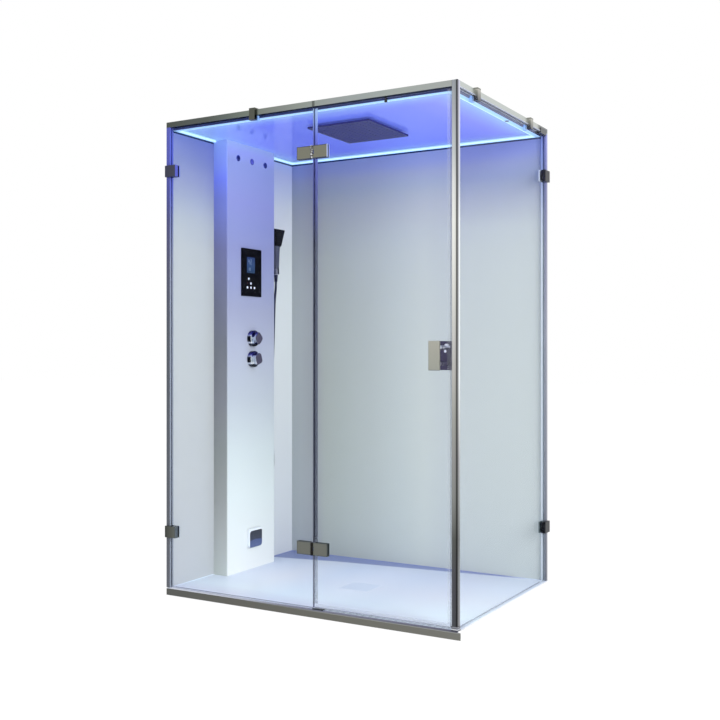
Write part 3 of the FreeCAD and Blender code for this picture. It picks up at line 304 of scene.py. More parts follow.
def tube_rings(path, radii, sides):
    """Rings square to a path, with one radius at each of its points."""
    heading = (path[1] - path[0]).normalized()
    across = heading.orthogonal().normalized()
    rings = []
    for index, place in enumerate(path):
        ahead = path[min(index + 1, len(path) - 1)] - path[max(index - 1, 0)]
        ahead.normalize()
        across = (across - ahead * across.dot(ahead)).normalized()
        up = ahead.cross(across)
        rings.append([
            place + (across * math.cos(turn) + up * math.sin(turn)) * radii[index]
            for turn in (2 * math.pi * side / sides for side in range(sides))
        ])
    return rings


# The windings of the metal cover stand 0.35 mm proud, one every 4 mm.
winding_pitch = 0.004
winding_relief = 0.00035
hose_steps = even_steps(hose_path, winding_pitch / 4)
hose_radii = [
    hose_diameter / 2 - winding_relief * (1 - math.cos(math.pi * index / 2))
    for index in range(len(hose_steps))
]
hose_shape = bmesh.new()
skin_rings(hose_shape, tube_rings(hose_steps, hose_radii, 14))
hose = mesh_piece("hose_piece", hose_shape)

Surface("wound_hose", 0.32, 0.85).paint(seen(62, 66, 86), 0.7, 60.0).on(hose)
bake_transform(hose)
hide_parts("shower_hose")


# ---------------- studio
# A white room without corners: the floor and the sky show white and keep the cabin's soft
# shadow, and two large soft lamps light the cabin from the right and from the front.
white = (1.0, 1.0, 1.0)


def looked_at(nodes):
    """1 for rays from the camera, straight, by way of a glossy face or through glass."""
    rays = nodes.node("LightPath").socket.node.outputs
    kinds = ("Camera", "Glossy", "Transmission")
    straight, mirrored, let_through = (Tone(nodes, rays[f"Is {kind} Ray"]) for kind in kinds)
    return straight | mirrored | let_through


floor_shape = bmesh.new()
bmesh.ops.create_grid(floor_shape, x_segments=1, y_segments=1, size=30.0)
floor = mesh_piece("studio_floor", floor_shape, False)
floor.location.z = -0.0005
floor_finish = Surface("studio_floor", 0.9, colour=seen(234, 234, 234), shine=0.0)
floor_glow = floor_finish.node("Emission", {"Color": white, "Strength": 1.1})
floor_mix = [looked_at(floor_finish) * 0.8, floor_finish.shaded, floor_glow]
floor_finish.join(floor_finish.node("MixShader", floor_mix), floor_finish.output)
floor_finish.on(floor)

world = bpy.data.worlds.new("studio")
bpy.context.scene.world = world
sky = Nodes(world, "World Output")
soft_sky = sky.node("Background", {"Color": (0.98, 0.99, 1.0), "Strength": 0.80})
white_sky = sky.node("Background", {"Color": white, "Strength": 1.0})
sky.join(sky.node("MixShader", [looked_at(sky), soft_sky, white_sky]), sky.output)

for lamp_name, lamp_place, lamp_size, lamp_power in (
    ("lamp_right", (5.0, -1.5, 2.6), 3.0, 205.0),
    ("lamp_front", (-1.5, -5.5, 2.4), 3.0, 100.0),
):
    lamp_data = bpy.data.lights.new(lamp_name, "AREA")
    lamp_data.size = lamp_size
    lamp_data.energy = lamp_power
    lamp = bpy.data.objects.new(lamp_name, lamp_data)
    lamp.location = lamp_place
    aim = Vector((0.0, 0.0, 0.9)) - Vector(lamp_place)
    lamp.rotation_euler = aim.to_track_quat("-Z", "Y").to_euler()
    lamp.visible_glossy = False
    bpy.context.collection.objects.link(lamp)


# ---------------- shower tray
# A cast slab of stone resin with a fine satin grain. Its cut right side is painted almost white
# as painted light, and its floor is painted with shade: darker towards the front edge and the
# rear wall, with a painted shadow band along the rear wall, widest towards the column.
def share_of(colour, full):
    """How much of the full colour is left, for each of red, green and blue."""
    return tuple(part / whole for part, whole in zip(seen(*colour), seen(*full)))


def shares_of(full, *stops):
    """Stops of a stain that brings the full colour down to the colours given."""
    return [(place, share_of(colour, full)) for place, *colour in stops]


tray_left_side = -0.7210
tray = Surface("stone_resin", 0.4, shine=0.3)
tray_x, tray_y = tray.places("XY")
# Painted shade: the floor is darker towards the front edge and towards the rear wall.
tray_colour = graded(
    tray_y, (-0.49, 208, 214, 234), (-0.30, 226, 241, 252), (-0.02, 222, 232, 246),
    (0.25, 213, 225, 243), (0.42, 205, 217, 235)
)
# Painted shading that brightens and dims the floor across its width.
tray_shading_across = shares_of(
    (217, 233, 250), (-0.60, 225, 239, 255), (-0.40, 228, 239, 252), (-0.20, 221, 237, 255),
    (0.00, 226, 239, 255), (0.20, 218, 232, 249), (0.40, 219, 231, 246), (0.60, 222, 237, 250)
)
tray_colour = tray.stained(tray_colour, ramp(tray_x, tray_shading_across))
# A painted shadow band along the rear wall, widening towards the left.
shade_edge = (tray_x * 0.197 + 0.46936) & (tray_x * 0.115 + 0.439685)
tray_shade = eased(tray_y - shade_edge, -0.006, 0.006)
tray_shade = tray_shade * eased(tray_x, 0.50, 0.66, 1.0, 0.0)
tray_shade = tray_shade * (tray_y < 0.5150) * (tray_x > tray_left_side)
tray_colour = mixed(tray_shade, tray_colour, seen(135, 148, 192))
# The front edge under the glass, darker towards the right: painted shade.
tray_colour = mixed(
    tray_y < -0.4780, tray_colour,
    graded(
        tray_x, (-0.73, 206, 210, 220), (-0.30, 176, 180, 192), (-0.06, 124, 126, 142),
        (0.70, 92, 92, 108)
    )
)
# The right side painted almost white: painted light of the lamp on the right.
tray_colour = mixed(tray_x > 0.7200, tray_colour, seen(254, 254, 255))
tray.paint(tray_colour, 0.03, 5.0).pebbled(0.10, 0.0004, 900.0, 3.0).on("shower_tray")

# ---------------- tray trim
# A strip of brushed dark nickel stuck along the tray's front, its brushing lengthwise; it is
# painted darker towards its left end as painted reflection and has a painted highlight along
# its upper edge.
trim = Surface("trim_strip", 0.36, 1.0)
trim_x, trim_z = trim.places("XZ")
# Painted reflection: darker towards the left end.
trim_colour = graded(
    trim_x, (-0.73, 93, 94, 91), (-0.42, 100, 100, 95), (-0.10, 105, 105, 99),
    (0.20, 110, 110, 103), (0.72, 119, 119, 113)
)
# A painted highlight along the upper edge, on the right part.
trim_colour = mixed(
    eased(trim_z, 0.0262, 0.0280) * eased(trim_x, -0.3, 0.2), trim_colour, seen(149, 151, 150)
)
trim.paint(trim_colour, 0.10, 90.0, (0.06, 1.0, 8.0))
trim.pebbled(0.06, 0.0003, 90.0, 4.0, (0.06, 1.0, 8.0)).on("tray_front_trim")

# ---------------- drain
# A square cover pressed of enamelled steel, white like the tray, lying loose on the ledge of
# the drain pocket; under it a turned steel waste ring screwed into the tray.
drain_x, drain_y = 0.0225, -0.0215
cover = Surface("drain_enamel", 0.34, shine=0.3)
cover_x, cover_y = cover.places("XY")
cover_edge = abs(cover_x - drain_x) | abs(cover_y - drain_y)
# The rim is painted lighter than the middle: a painted highlight.
cover_colour = mixed(eased(cover_edge, 0.0705, 0.0725), seen(219, 230, 247), seen(236, 243, 253))
cover.paint(cover_colour, 0.02, 20.0).pebbled(0.05, 0.0003, 700.0, 2.0).on("drain_cover")

steel = Surface("turned_steel", 0.25, 1.0).paint(seen(176, 180, 186), 0.12, 160.0)
steel.feed("Roughness", steel.noise(300.0) * 0.18 + 0.16)
steel.on(
    "waste_flange", "fixing_screws", "hinge_door_screws", "hinge_pins", "rain_pipe", "steam_pipe",
    "steam_generator", "mixer_body"
)

# ---------------- solid walls
# Two glossy boards of one cool grey, left and rear, let into the frame's channels. Their tops
# are painted blue, painted light of the ceiling, the rear one is painted darker towards the
# column as painted shade, and a painted shadow line runs along their tops under the ceiling.
board_back = seen(206, 209, 212)
top_shadow = seen(20, 40, 90)
top_shadow_low, top_shadow_high = 2.109, 2.125
rear_wall = Surface("rear_board", 0.34, shine=0.25)
rear_x, rear_y, rear_z = rear_wall.places()
# Painted light: the ceiling's blue light grows on the board towards its top.
rear_colour = graded(
    rear_z, (0.0, 187, 195, 196), (1.60, 185, 192, 191), (1.71, 182, 189, 190),
    (1.78, 180, 186, 188), (1.86, 178, 184, 189), (1.91, 175, 183, 190), (1.96, 170, 180, 194),
    (2.01, 170, 178, 200), (2.06, 158, 168, 211), (2.105, 151, 161, 210)
)
# Painted shade: darker towards the column at the left.
rear_shade_across = shares_of(
    (196, 206, 215), (-0.67, 191, 200, 210), (-0.58, 175, 181, 193), (-0.51, 184, 193, 196),
    (-0.42, 182, 192, 196), (-0.23, 184, 194, 200), (-0.06, 193, 204, 211), (0.08, 201, 211, 217),
    (0.19, 196, 206, 215), (0.40, 195, 206, 214)
)
rear_colour = rear_wall.stained(rear_colour, ramp(rear_x, rear_shade_across))
# A painted shade, darker and bluer, over the board's upper right part.
rear_colour = mixed(
    eased(rear_x, 0.235, 0.275) * eased(rear_z, 1.71, 1.95), rear_colour,
    rear_wall.stained(rear_colour, (0.68, 0.70, 0.88))
)
# A painted shadow line at the board's top, under the ceiling.
rear_colour = mixed((rear_z > top_shadow_low) * (rear_z < top_shadow_high), rear_colour, top_shadow)
rear_colour = mixed(rear_y > 0.5160, rear_colour, board_back)
rear_wall.paint(rear_colour, 0.02, 1.3).pebbled(0.02, 0.0003, 220.0, 2.0).on("rear_wall_panel")

left_wall = Surface("left_board", 0.34, shine=0.25)
left_x, left_y, left_z = left_wall.places()
# Painted light and shade: both gradings grow blue towards the top under the ceiling's light, and
# the board near the front is painted darker than behind the column.
left_near = graded(
    left_z, (0.0, 198, 202, 205), (1.58, 195, 201, 199), (1.72, 188, 196, 199),
    (1.82, 173, 182, 198), (1.90, 161, 169, 197), (1.95, 155, 163, 197), (2.00, 145, 155, 197),
    (2.05, 141, 150, 201), (2.105, 131, 141, 202)
)
left_behind = graded(
    left_z, (0.0, 213, 218, 223), (1.66, 218, 224, 219), (1.76, 226, 230, 228),
    (1.87, 220, 226, 227), (1.98, 208, 216, 232), (2.05, 201, 207, 233), (2.105, 186, 198, 237)
)
left_colour = mixed(eased(left_y, 0.05, 0.30), left_near, left_behind)
# A painted shadow line at the board's top, under the ceiling.
left_colour = mixed((left_z > top_shadow_low) * (left_z < top_shadow_high), left_colour, top_shadow)
left_colour = mixed(left_x < -0.7220, left_colour, board_back)
left_wall.paint(left_colour, 0.02, 1.3).pebbled(0.02, 0.0003, 220.0, 2.0).on("left_wall_panel")

# ---------------- top rails
# Square aluminium tube, bright anodised, mitred over the glass along the front and the right
# side. The front one is painted darkest at its left end and the side one darker at its rear
# end, as painted reflection; the side one's underside glows with painted light of the ceiling.
front_rail = Surface("front_rail", 0.28, 1.0)
[rail_x] = front_rail.places("X")
# Painted reflection: darker towards the left end.
front_rail_colour = graded(
    rail_x, (-0.73, 80, 85, 80), (-0.59, 88, 93, 90), (-0.50, 90, 95, 90), (-0.40, 103, 111, 107),
    (-0.29, 118, 126, 117), (-0.10, 136, 141, 136), (0.0, 147, 154, 147), (0.15, 157, 163, 161),
    (0.29, 160, 168, 166), (0.47, 167, 174, 169), (0.72, 168, 172, 170)
)
joint_x, joint_half = 0.0625, 0.0065
rail_joint = abs(rail_x - joint_x) < joint_half
front_rail_colour = mixed(rail_joint, front_rail_colour, seen(104, 108, 104))
front_rail.paint(front_rail_colour, 0.05, 50.0, (0.1, 1.0, 4.0))
front_rail.pebbled(0.04, 0.0003, 60.0, 3.0, (0.05, 1.0, 8.0)).on("front_top_rail")

unlit = (0.0, 0.0, 0.0)
side_rail = Surface("side_rail", 0.28, 1.0)
side_x, side_y, side_z = side_rail.places()
# Painted reflection: darker towards the rear end.
side_rail_colour = graded(
    side_y, (-0.49, 201, 207, 203), (0.15, 197, 203, 199), (0.38, 199, 202, 197),
    (0.41, 128, 130, 128), (0.53, 122, 127, 133)
)
rail_underside = 2.1285
# The underside is painted pale and glows: painted light of the ceiling's strip.
side_rail_colour = mixed(
    eased(side_z, 2.1305, rail_underside), side_rail_colour, seen(150, 155, 164)
)
side_rail.paint(side_rail_colour, 0.05, 50.0, (1.0, 0.1, 4.0))
side_rail_above = eased(side_z, rail_underside, 2.1295)
side_rail.feed("Metallic", side_rail_above)
side_rail_painted_glow = mixed(side_rail_above, seen(150, 155, 176), unlit)
side_rail.lit(side_rail_painted_glow, 0.3).pebbled(0.04, 0.0003, 60.0, 3.0, (1.0, 0.05, 8.0))
side_rail.on("side_top_rail")

# ---------------- corner post
# A square aluminium tube at the cabin's open corner, polished: its front face is painted from
# light to dark downwards, as painted reflection, and a dark line of painted shade runs down its
# corner.
post = Surface("corner_post", 0.22, 1.0)
post_x, post_y, post_z = post.places()
# Painted reflection: the front face runs light to dark downwards, and darker towards the corner.
post_front = graded(
    post_z, (0.035, 76, 78, 82), (0.231, 78, 78, 84), (0.384, 88, 90, 88), (0.45, 110, 112, 110),
    (0.538, 130, 132, 130), (0.691, 146, 146, 145), (0.844, 162, 163, 158),
    (0.998, 184, 183, 179), (1.151, 200, 199, 197), (1.304, 218, 218, 213),
    (1.458, 233, 233, 228), (1.611, 238, 239, 234), (1.765, 224, 225, 224),
    (1.880, 196, 201, 202), (2.033, 174, 178, 182), (2.150, 156, 162, 168)
)
post_front = post.stained(post_front, eased(post_x, 0.705, 0.7145, 1.0, 0.66))
# A dark line of painted shade down the post's corner.
post_corner_shade = graded(
    post_z, (0.035, 30, 30, 32), (0.54, 40, 40, 38), (1.00, 44, 44, 44), (1.30, 30, 30, 28),
    (1.61, 30, 30, 29), (1.80, 22, 22, 24), (2.15, 20, 20, 22)
)
# Painted reflection and shade on the side face, darker along its front edge.
post_side = graded(
    post_z, (0.035, 143, 144, 149), (0.231, 139, 143, 147), (0.384, 120, 124, 125),
    (0.538, 160, 164, 164), (0.691, 180, 181, 184), (0.844, 216, 218, 218),
    (0.998, 240, 244, 247), (1.611, 249, 252, 255), (1.765, 216, 219, 228), (2.150, 213, 214, 232)
)
post_side = post.stained(post_side, eased(post_y, -0.4765, -0.4735, 0.42, 1.0))
post_colour = mixed(eased(post_x, 0.7138, 0.7148), post_front, post_corner_shade)
post_colour = mixed(post_x > 0.7192, post_colour, post_side)
post.paint(post_colour, 0.04, 60.0, (6.0, 6.0, 0.1))
post.pebbled(0.03, 0.0003, 80.0, 3.0, (6.0, 6.0, 0.05)).on("corner_post")

# ---------------- post foot
# A collar pressed of chromed steel in stepped layers. It is slipped over the post and rests
# on the tray, where it hides the post's foot.
foot_finish = Surface("post_foot", 0.18, 1.0)
[foot_z] = foot_finish.places("Z")
# Bands of painted reflection and shade up the chromed layers.
foot_colour = graded(
    foot_z, (0.034, 46, 48, 54), (0.038, 58, 60, 66), (0.0395, 212, 214, 220),
    (0.0425, 180, 184, 190), (0.044, 70, 72, 80), (0.0475, 140, 142, 150), (0.053, 96, 98, 104)
)
foot_finish.paint(foot_colour, 0.08, 260.0).on("post_foot")

# ---------------- wall channels
# Two U channels of extruded aluminium, anodised and screwed to the walls' ends. The fixed
# panes stand in them in sealant.
profile = Surface("wall_channel", 0.35, 0.15, shine=0.2)
profile_x, profile_y, profile_z = profile.places()
# Painted light: the channels' colours grow blue towards the top under the ceiling's light.
left_channel = graded(
    profile_z, (0.03, 90, 93, 101), (0.50, 82, 86, 94), (1.20, 76, 81, 90), (1.50, 74, 76, 98),
    (1.70, 70, 72, 112), (1.85, 68, 73, 138), (1.95, 77, 82, 158), (2.15, 78, 84, 162)
)
channel_side = graded(
    profile_z, (0.03, 150, 158, 170), (1.20, 150, 158, 172), (1.50, 150, 157, 176),
    (1.70, 128, 137, 180), (1.85, 106, 116, 202), (1.95, 100, 112, 214), (2.15, 104, 118, 216)
)
# The left channel's side and groove faces are painted lighter against the shade in the groove:
# painted light.
left_channel = mixed((profile_x > -0.7123) | (profile_y > -0.4785), left_channel, channel_side)
rear_channel = graded(
    profile_z, (0.03, 102, 106, 117), (0.50, 118, 122, 133), (1.20, 136, 139, 152),
    (1.60, 127, 129, 150), (1.85, 115, 118, 152), (2.15, 128, 134, 196)
)
# The rear channel's inner faces are painted with the wall's colours: painted reflection of the
# wall.
rear_channel = mixed(
    eased(profile_x, 0.7040, 0.7030) | (profile_y > 0.5012) * (profile_x < 0.7150), rear_channel,
    graded(
        profile_z, (0.03, 196, 206, 215), (1.60, 196, 206, 215), (1.78, 183, 194, 213),
        (1.91, 159, 173, 210), (2.01, 140, 156, 208), (2.15, 120, 134, 208)
    )
)
profile_colour = mixed(profile_x > 0.0, left_channel, rear_channel)
profile.paint(profile_colour, 0.05, 60.0, (6.0, 6.0, 0.1))
profile.pebbled(0.03, 0.0003, 80.0, 3.0, (6.0, 6.0, 0.05)).on("wall_profiles")

# ---------------- rail clamps and sockets
# Clips of bent steel pressed over the rails: the front one dark, the side ones chromed, and
# at the side rail's rear end two dark cheeks screwed to the wall hold it.
clip = Surface("rail_clips", 0.24, 1.0)
clip_x, clip_y, clip_z = clip.places()
# Bands of painted highlight and shade up the clips.
clip_colour = graded(
    clip_z, (2.104, 96, 98, 104), (2.128, 150, 150, 146), (2.1495, 190, 189, 180),
    (2.1505, 96, 98, 92), (2.156, 180, 181, 172)
)
clip_colour = mixed(clip_x < 0.2, clip_colour, seen(88, 90, 82))
# The clips' inner faces below the rails are painted pale blue and glow: painted light of the
# ceiling's strip.
clip_inner = ((clip_x > 0.2) * (clip_x < 0.7040)) | ((clip_x < 0.2) * (clip_y > -0.4710))
clip_inner = clip_inner * (clip_z < rail_underside)
clip_colour = mixed(clip_inner, clip_colour, seen(136, 172, 240))
clip.paint(clip_colour, 0.10, 300.0).feed("Metallic", 1.0 - clip_inner)
clip.lit(mixed(clip_inner, unlit, seen(150, 196, 250)), 0.35).on("rail_clamps")

Surface("rail_cheeks", 0.36, 0.9).paint(seen(106, 108, 110), 0.2, 200.0).on("side_rail_sockets")

# ---------------- wall clamps
# Blocks and plates of cast brass, dark nickelled, that grip the panes at the walls; their
# screws go through the glass.
clamp = Surface("wall_clamps", 0.32, 1.0)
clamp_x, clamp_y, clamp_z = clamp.places()
# Painted reflection and shade on every face: darker by the wall, bluer higher up, and the upper
# and lower clamps painted as lit and shaded copies.
clamp_left = graded(
    clamp_x, (-0.732, 54, 56, 52), (-0.720, 74, 76, 72), (-0.700, 86, 88, 82),
    (-0.676, 94, 98, 94), (-0.672, 80, 86, 90)
)
clamp_left = mixed(eased(clamp_z, 1.6, 1.9) * 0.8, clamp_left, seen(66, 67, 88))
clamp_high = clamp_z > 1.0
clamp_left = mixed(
    clamp_x > -0.6722, clamp_left, mixed(clamp_high, seen(84, 92, 98), seen(96, 102, 190))
)
clamp_left = mixed(
    clamp_y > -0.4690, clamp_left, mixed(clamp_high, seen(172, 182, 190), seen(120, 131, 214))
)
clamp_right_outer = mixed(clamp_high, seen(36, 38, 42), seen(55, 55, 60))
clamp_right_inner = mixed(clamp_high, seen(75, 88, 92), seen(186, 196, 212))
clamp_right = mixed(clamp_x > 0.7076, clamp_right_inner, clamp_right_outer)
clamp_colour = mixed(clamp_x > 0.0, clamp_left, clamp_right)
clamp_inner = ((clamp_x > 0.0) * (clamp_x < 0.7076)) | ((clamp_x < 0.0) * (clamp_x > -0.6722))
clamp.paint(clamp_colour, 0.12, 400.0).feed("Metallic", 1.0 - clamp_inner * 0.8)
clamp.pebbled(0.05, 0.0002, 500.0, 3.0).on("wall_clamps")

# ---------------- glass
# Panes of clear toughened glass, 8 mm thick, their ground edges painted dark violet as painted
# shade and blue light along the edges. The fixed ones stand in the channels and clamps, and the
# door hangs on its two hinges.
for node, thin_axis, glass_shine, edge_share in (
    ("fixed_front_glass", 1, 0.10, 0.85),
    ("door_glass", 1, 0.10, 0.85),
    ("fixed_side_glass", 0, 0.04, 0.40),
):
    glass = Surface(node + "_clear", 0.3).paint(seen(72, 74, 112), 0.2, 200.0)
    clear = glass.node("BsdfTransparent", {"Color": (0.985, 0.988, 0.992)})
    gloss = glass.node("BsdfGlossy", {"Color": white, "Roughness": 0.0})
    lean = glass.node("LayerWeight", {"Blend": 0.12}, "Fresnel")
    face = glass.node("MixShader", [lean * glass_shine, clear, gloss])
    normal = glass.node("TexCoord", output="Normal")
    facing = glass.node("SeparateXYZ", [normal], thin_axis)
    glass_x, glass_y = glass.places("XY")
    # Painted shade and light on the panes' edges, left off by the left wall and at the rear.
    on_edge = (abs(facing) < 0.5) * (glass_x > -0.69) * (glass_y < 0.45) * edge_share
    whole = glass.node("MixShader", [on_edge, face, glass.shaded])
    glass.join(whole, glass.output)
    glass.on(node)

# ---------------- seals
# Clear soft lips pushed onto the panes' edges, a beaded one under the door, and the post's
# black magnetic strip that the door closes against.
seal = Surface("clear_seal", 0.3, colour=seen(200, 205, 218), shine=0.3)
seal.feed("Alpha", seal.noise(120.0) * 0.04 + 0.05)
seal.on("glass_base_seals", "door_bottom_seal", "door_magnet_seal")
hinge_seal = Surface("hinge_seal", 0.3, shine=0.3)
[hinge_seal_z] = hinge_seal.places("Z")
# Painted light and shade: darker low down and bluer towards the top under the ceiling's light.
hinge_seal_colour = graded(
    hinge_seal_z, (0.04, 150, 158, 172), (0.25, 130, 138, 152), (0.33, 86, 93, 108),
    (1.55, 84, 90, 110), (1.69, 84, 90, 144), (1.85, 90, 97, 170), (2.00, 110, 120, 220),
    (2.12, 170, 200, 240)
)
hinge_seal.paint(hinge_seal_colour, 0.15, 80.0, (1.0, 1.0, 0.1))
hinge_seal.feed("Alpha", eased(hinge_seal_z, 0.25, 0.35, 0.35, 0.75)).on("door_hinge_seal")

Surface("magnet_strip", 0.55).paint(seen(120, 122, 126), 0.2, 300.0).on("post_magnet_strip")
stop_rubber = Surface("stop_rubber", 0.6)
stop_rubber.paint(seen(42, 42, 45), 0.3, 400.0).pebbled(0.2, 0.0003, 900.0, 2.0).on("door_stop")

# ---------------- threshold
# A low bar of extruded aluminium, stuck to the tray under the door to keep the water in; it is
# painted bright along its top as a painted highlight and dark at its root as painted shade.
bar = Surface("threshold_bar", 0.22, 1.0)
bar_x, bar_z = bar.places("XZ")
bar_colour = graded(
    bar_z, (0.0345, 120, 126, 146), (0.0368, 150, 156, 176), (0.0378, 212, 219, 234)
)
bar_colour = mixed(bar_x < 0.112, bar_colour, seen(40, 44, 52))
bar.paint(bar_colour, 0.08, 80.0, (0.1, 1.0, 1.0)).on("threshold_bar")

# ---------------- hinges
# Two glass-to-glass hinges of brass, brushed lengthwise and nickelled, an outer and an inner
# plate on each pane with a barrel between; the plates' edges are bevelled and painted dark as
# painted shade. The upper and lower hinges are painted as lit and shaded copies, with painted
# highlights on the upper one.
hinge = Surface("hinge_nickel", 0.30, 1.0)
hinge_x, hinge_z = hinge.places("XZ")
hinge_axis_x = 0.0536
lower_hinge, hinge_spacing = 0.286, 1.652
hinge_high = hinge_z > 1.0
hinge_rise = abs(hinge_z - (hinge_high * hinge_spacing + lower_hinge))
hinge_reach = abs(hinge_x - hinge_axis_x)
hinge_edge = eased(hinge_rise, 0.0238, 0.0252) | eased(hinge_reach, 0.0718, 0.0735)
# The upper and lower hinges are painted as lit and shaded copies.
hinge_colour = mixed(hinge_high, seen(107, 109, 103), seen(126, 126, 113))
hinge_colour = hinge.grained(hinge_colour, 0.22, 700.0, (0.05, 1.0, 1.0))
# Painted shade on the bevelled edges, bluer on the upper hinge.
hinge_colour = mixed(
    hinge_edge, hinge_colour, mixed(hinge_high, seen(84, 90, 88), seen(72, 78, 104))
)
# A painted highlight on the upper hinge's right end.
hinge_colour = mixed(hinge_high * (hinge_x > 0.1268), hinge_colour, seen(228, 236, 252))
# Painted highlights in spots on the upper barrel; the lower barrel is painted dark as painted
# shade.
barrel_glints = eased(hinge.noise(120.0, 1.0, (1.0, 0.2, 1.4)), 0.52, 0.60)
hinge_barrel_colour = mixed(
    hinge_high, seen(38, 36, 34), mixed(barrel_glints, seen(112, 110, 108), seen(226, 228, 232))
)
hinge_barrel = eased(hinge_reach, 0.0062, 0.0048)
hinge_colour = mixed(hinge_barrel, hinge_colour, hinge_barrel_colour)
hinge.feed("Base Color", hinge_colour).pebbled(0.08, 0.0002, 700.0, 3.0, (0.04, 1.0, 1.0))
hinge.on("hinge_fixed_leaves", "hinge_door_leaves")

# ---------------- door handle
# A bronze-grey flat plate outside and a polished one inside, each screwed through the door on
# two standoffs.
handle = Surface("handle_bronze", 0.30, 1.0)
handle_x, handle_y, handle_z = handle.places()
# The outer plate is painted a little lighter upwards and darker at its edges: painted shade.
handle_outer = mixed(
    eased(handle_x, 0.6180, 0.6165) | eased(handle_z, 1.0375, 1.0350),
    graded(handle_z, (1.03, 160, 162, 153), (1.15, 174, 173, 163)), seen(128, 132, 134)
)


def glint(middle_x, middle_z, half_x, half_z):
    """One painted highlight on the polished plate, 1 at its middle and 0 at its edge."""
    out = (handle_x - middle_x) * (1.0 / half_x)
    up = (handle_z - middle_z) * (1.0 / half_z)
    return 1.0 - (out * out + up * up)


# Painted highlights on the inner plate, over a dark purple ground of painted reflection.
glare = glint(0.645, 1.1285, 0.0125, 0.011) | glint(0.640, 1.1255, 0.024, 0.0065)
glare = glare | glint(0.6385, 1.1085, 0.0062, 0.0075)
glare = glare + handle.noise(180.0, 1.0) * 0.8
handle_inner = mixed(
    eased(glare, 0.55, 0.75), handle.grained(seen(74, 71, 94), 0.1, 60.0), seen(226, 230, 246)
)
handle_colour = mixed(handle_y > -0.47, handle_outer, handle_inner)
handle.paint(handle_colour, 0.06, 500.0, (1.0, 1.0, 0.06))
handle.pebbled(0.05, 0.0002, 500.0, 3.0, (1.0, 1.0, 0.05)).on("handle_plates")

standoff = Surface("handle_standoffs", 0.3, 1.0)
[standoff_z] = standoff.places("Z")
# The upper standoffs are painted bright and the lower ones dark: lit and shaded copies.
standoff_colour = mixed(standoff_z > 1.09, seen(76, 74, 96), seen(206, 211, 226))
standoff.paint(standoff_colour, 0.2, 260.0)
standoff.feed("Metallic", eased(standoff_z, 1.08, 1.10, 0.2, 1.0)).on("handle_standoffs")

# ---------------- lit ceiling
# A white board lit by a strip of lights behind an opal lens all round its edge; at rest the
# lights are blue. Their light on the board is painted into its colour and glow: pale cyan at
# its edges and violet-blue inside.
ceiling = Surface("lit_ceiling", 0.03, shine=0.35)
ceiling_x, ceiling_y, ceiling_z = ceiling.places()
# Painted light: the board's colour and glow are the light of the strip.
ceiling_inner = graded(
    ceiling_x, (-0.72, 129, 146, 244), (-0.30, 106, 122, 245), (0.05, 118, 138, 255),
    (0.40, 124, 138, 251), (0.58, 142, 150, 253), (0.70, 143, 151, 253)
)
from_front = ceiling_y + 0.432
from_right = 0.6654 - ceiling_x
from_left = ceiling_x + 0.714
from_rear = 0.508 - ceiling_y
nearest = (from_front & from_right) & (from_left & from_rear)
# The painted light spreads furthest in the corner by the column.
near_corner = eased(ceiling_x, -0.35, -0.68) * eased(ceiling_y, 0.0, -0.35)
edge_light = seen(176, 222, 252)
ceiling_inner = mixed(near_corner * 0.55, ceiling_inner, edge_light)
edge_shares = ((0.0, 0.86), (0.03, 0.56), (0.08, 0.17), (0.14, 0.0))
edge_share = ramp(nearest, [(place, (share, share, share)) for place, share in edge_shares])
ceiling_colour = mixed(edge_share, ceiling_inner, edge_light)
ceiling_back = ceiling_z > 2.1275
ceiling_board = mixed(ceiling_back, ceiling_colour, board_back)
ceiling_glow = ceiling.grained(ceiling_colour, 0.03, 3.0)
ceiling_glow = mixed(ceiling_back, ceiling_glow, unlit)
ceiling.feed("Base Color", ceiling_board).lit(ceiling_glow, 0.26).on("ceiling_panel")

led = Surface("opal_lens", 0.4, colour=seen(180, 215, 255))
led.lit(led.grained(seen(196, 230, 255), 0.06, 90.0), 0.8).on("led_diffuser")

# The ceiling's frame: painted pale cyan and glowing as painted light of the strip, but for narrow
# outer strips along the front and the right, painted dark as painted shade under the rails; its
# top is plain.
ledge = Surface("ceiling_ledge", 0.3, shine=0.2)
ledge_x, ledge_y, ledge_z = ledge.places()
ledge_right = ledge_x > 0.6894
ledge_outer = mixed(ledge_right, seen(40, 50, 96), seen(92, 97, 122))
ledge_colour = mixed((ledge_y < -0.4560) | ledge_right, seen(172, 216, 252), ledge_outer)
ledge_above = ledge_z > 2.1285
ledge_glow = mixed(ledge_above, ledge_colour, unlit)
ledge_colour = mixed(ledge_above, ledge_colour, seen(200, 203, 206))
ledge.paint(ledge_colour, 0.06, 60.0).lit(ledge_glow, 0.4).on("ceiling_frame")

sensor = Surface("sensor_cap", 0.3, 0.8)
sensor.paint(seen(150, 152, 170), 0.15, 300.0).on("steam_temperature_sensor")

# ---------------- rain head
# A thin rectangular shower head of steel with rows of silicone nozzles let into its face,
# hung close under the ceiling; it is painted dark blue against the lit board, as painted shade
# and blue light of the ceiling.
rain_face = Surface("rain_head", 0.34, shine=0.3)
rain_x, rain_y = rain_face.places("XY")
weave_pitch = 0.014
weave = ((rain_x * 0.78 - rain_y * 0.63) * (2 * math.pi / weave_pitch)).sine()
# The dark blue of face and body is painted shade and blue light of the ceiling.
rain_colour = mixed(eased(weave, -0.4, 0.4) * 0.9, seen(56, 60, 156), seen(46, 44, 70))
rain_face.paint(rain_colour, 0.10, 30.0).on("rain_head_face")
Surface("rain_head_body", 0.3, 0.3).paint(seen(52, 52, 112), 0.12, 60.0).on("rain_head_body")

# ---------------- service column
# A glossy white box, open at the back, that stands on the tray against the left wall and
# carries the lamps, the control panel, the two valve knobs and the steam outlet.
column_finish = Surface("column_board", 0.28, shine=0.25)
column_y, column_z = column_finish.places("YZ")
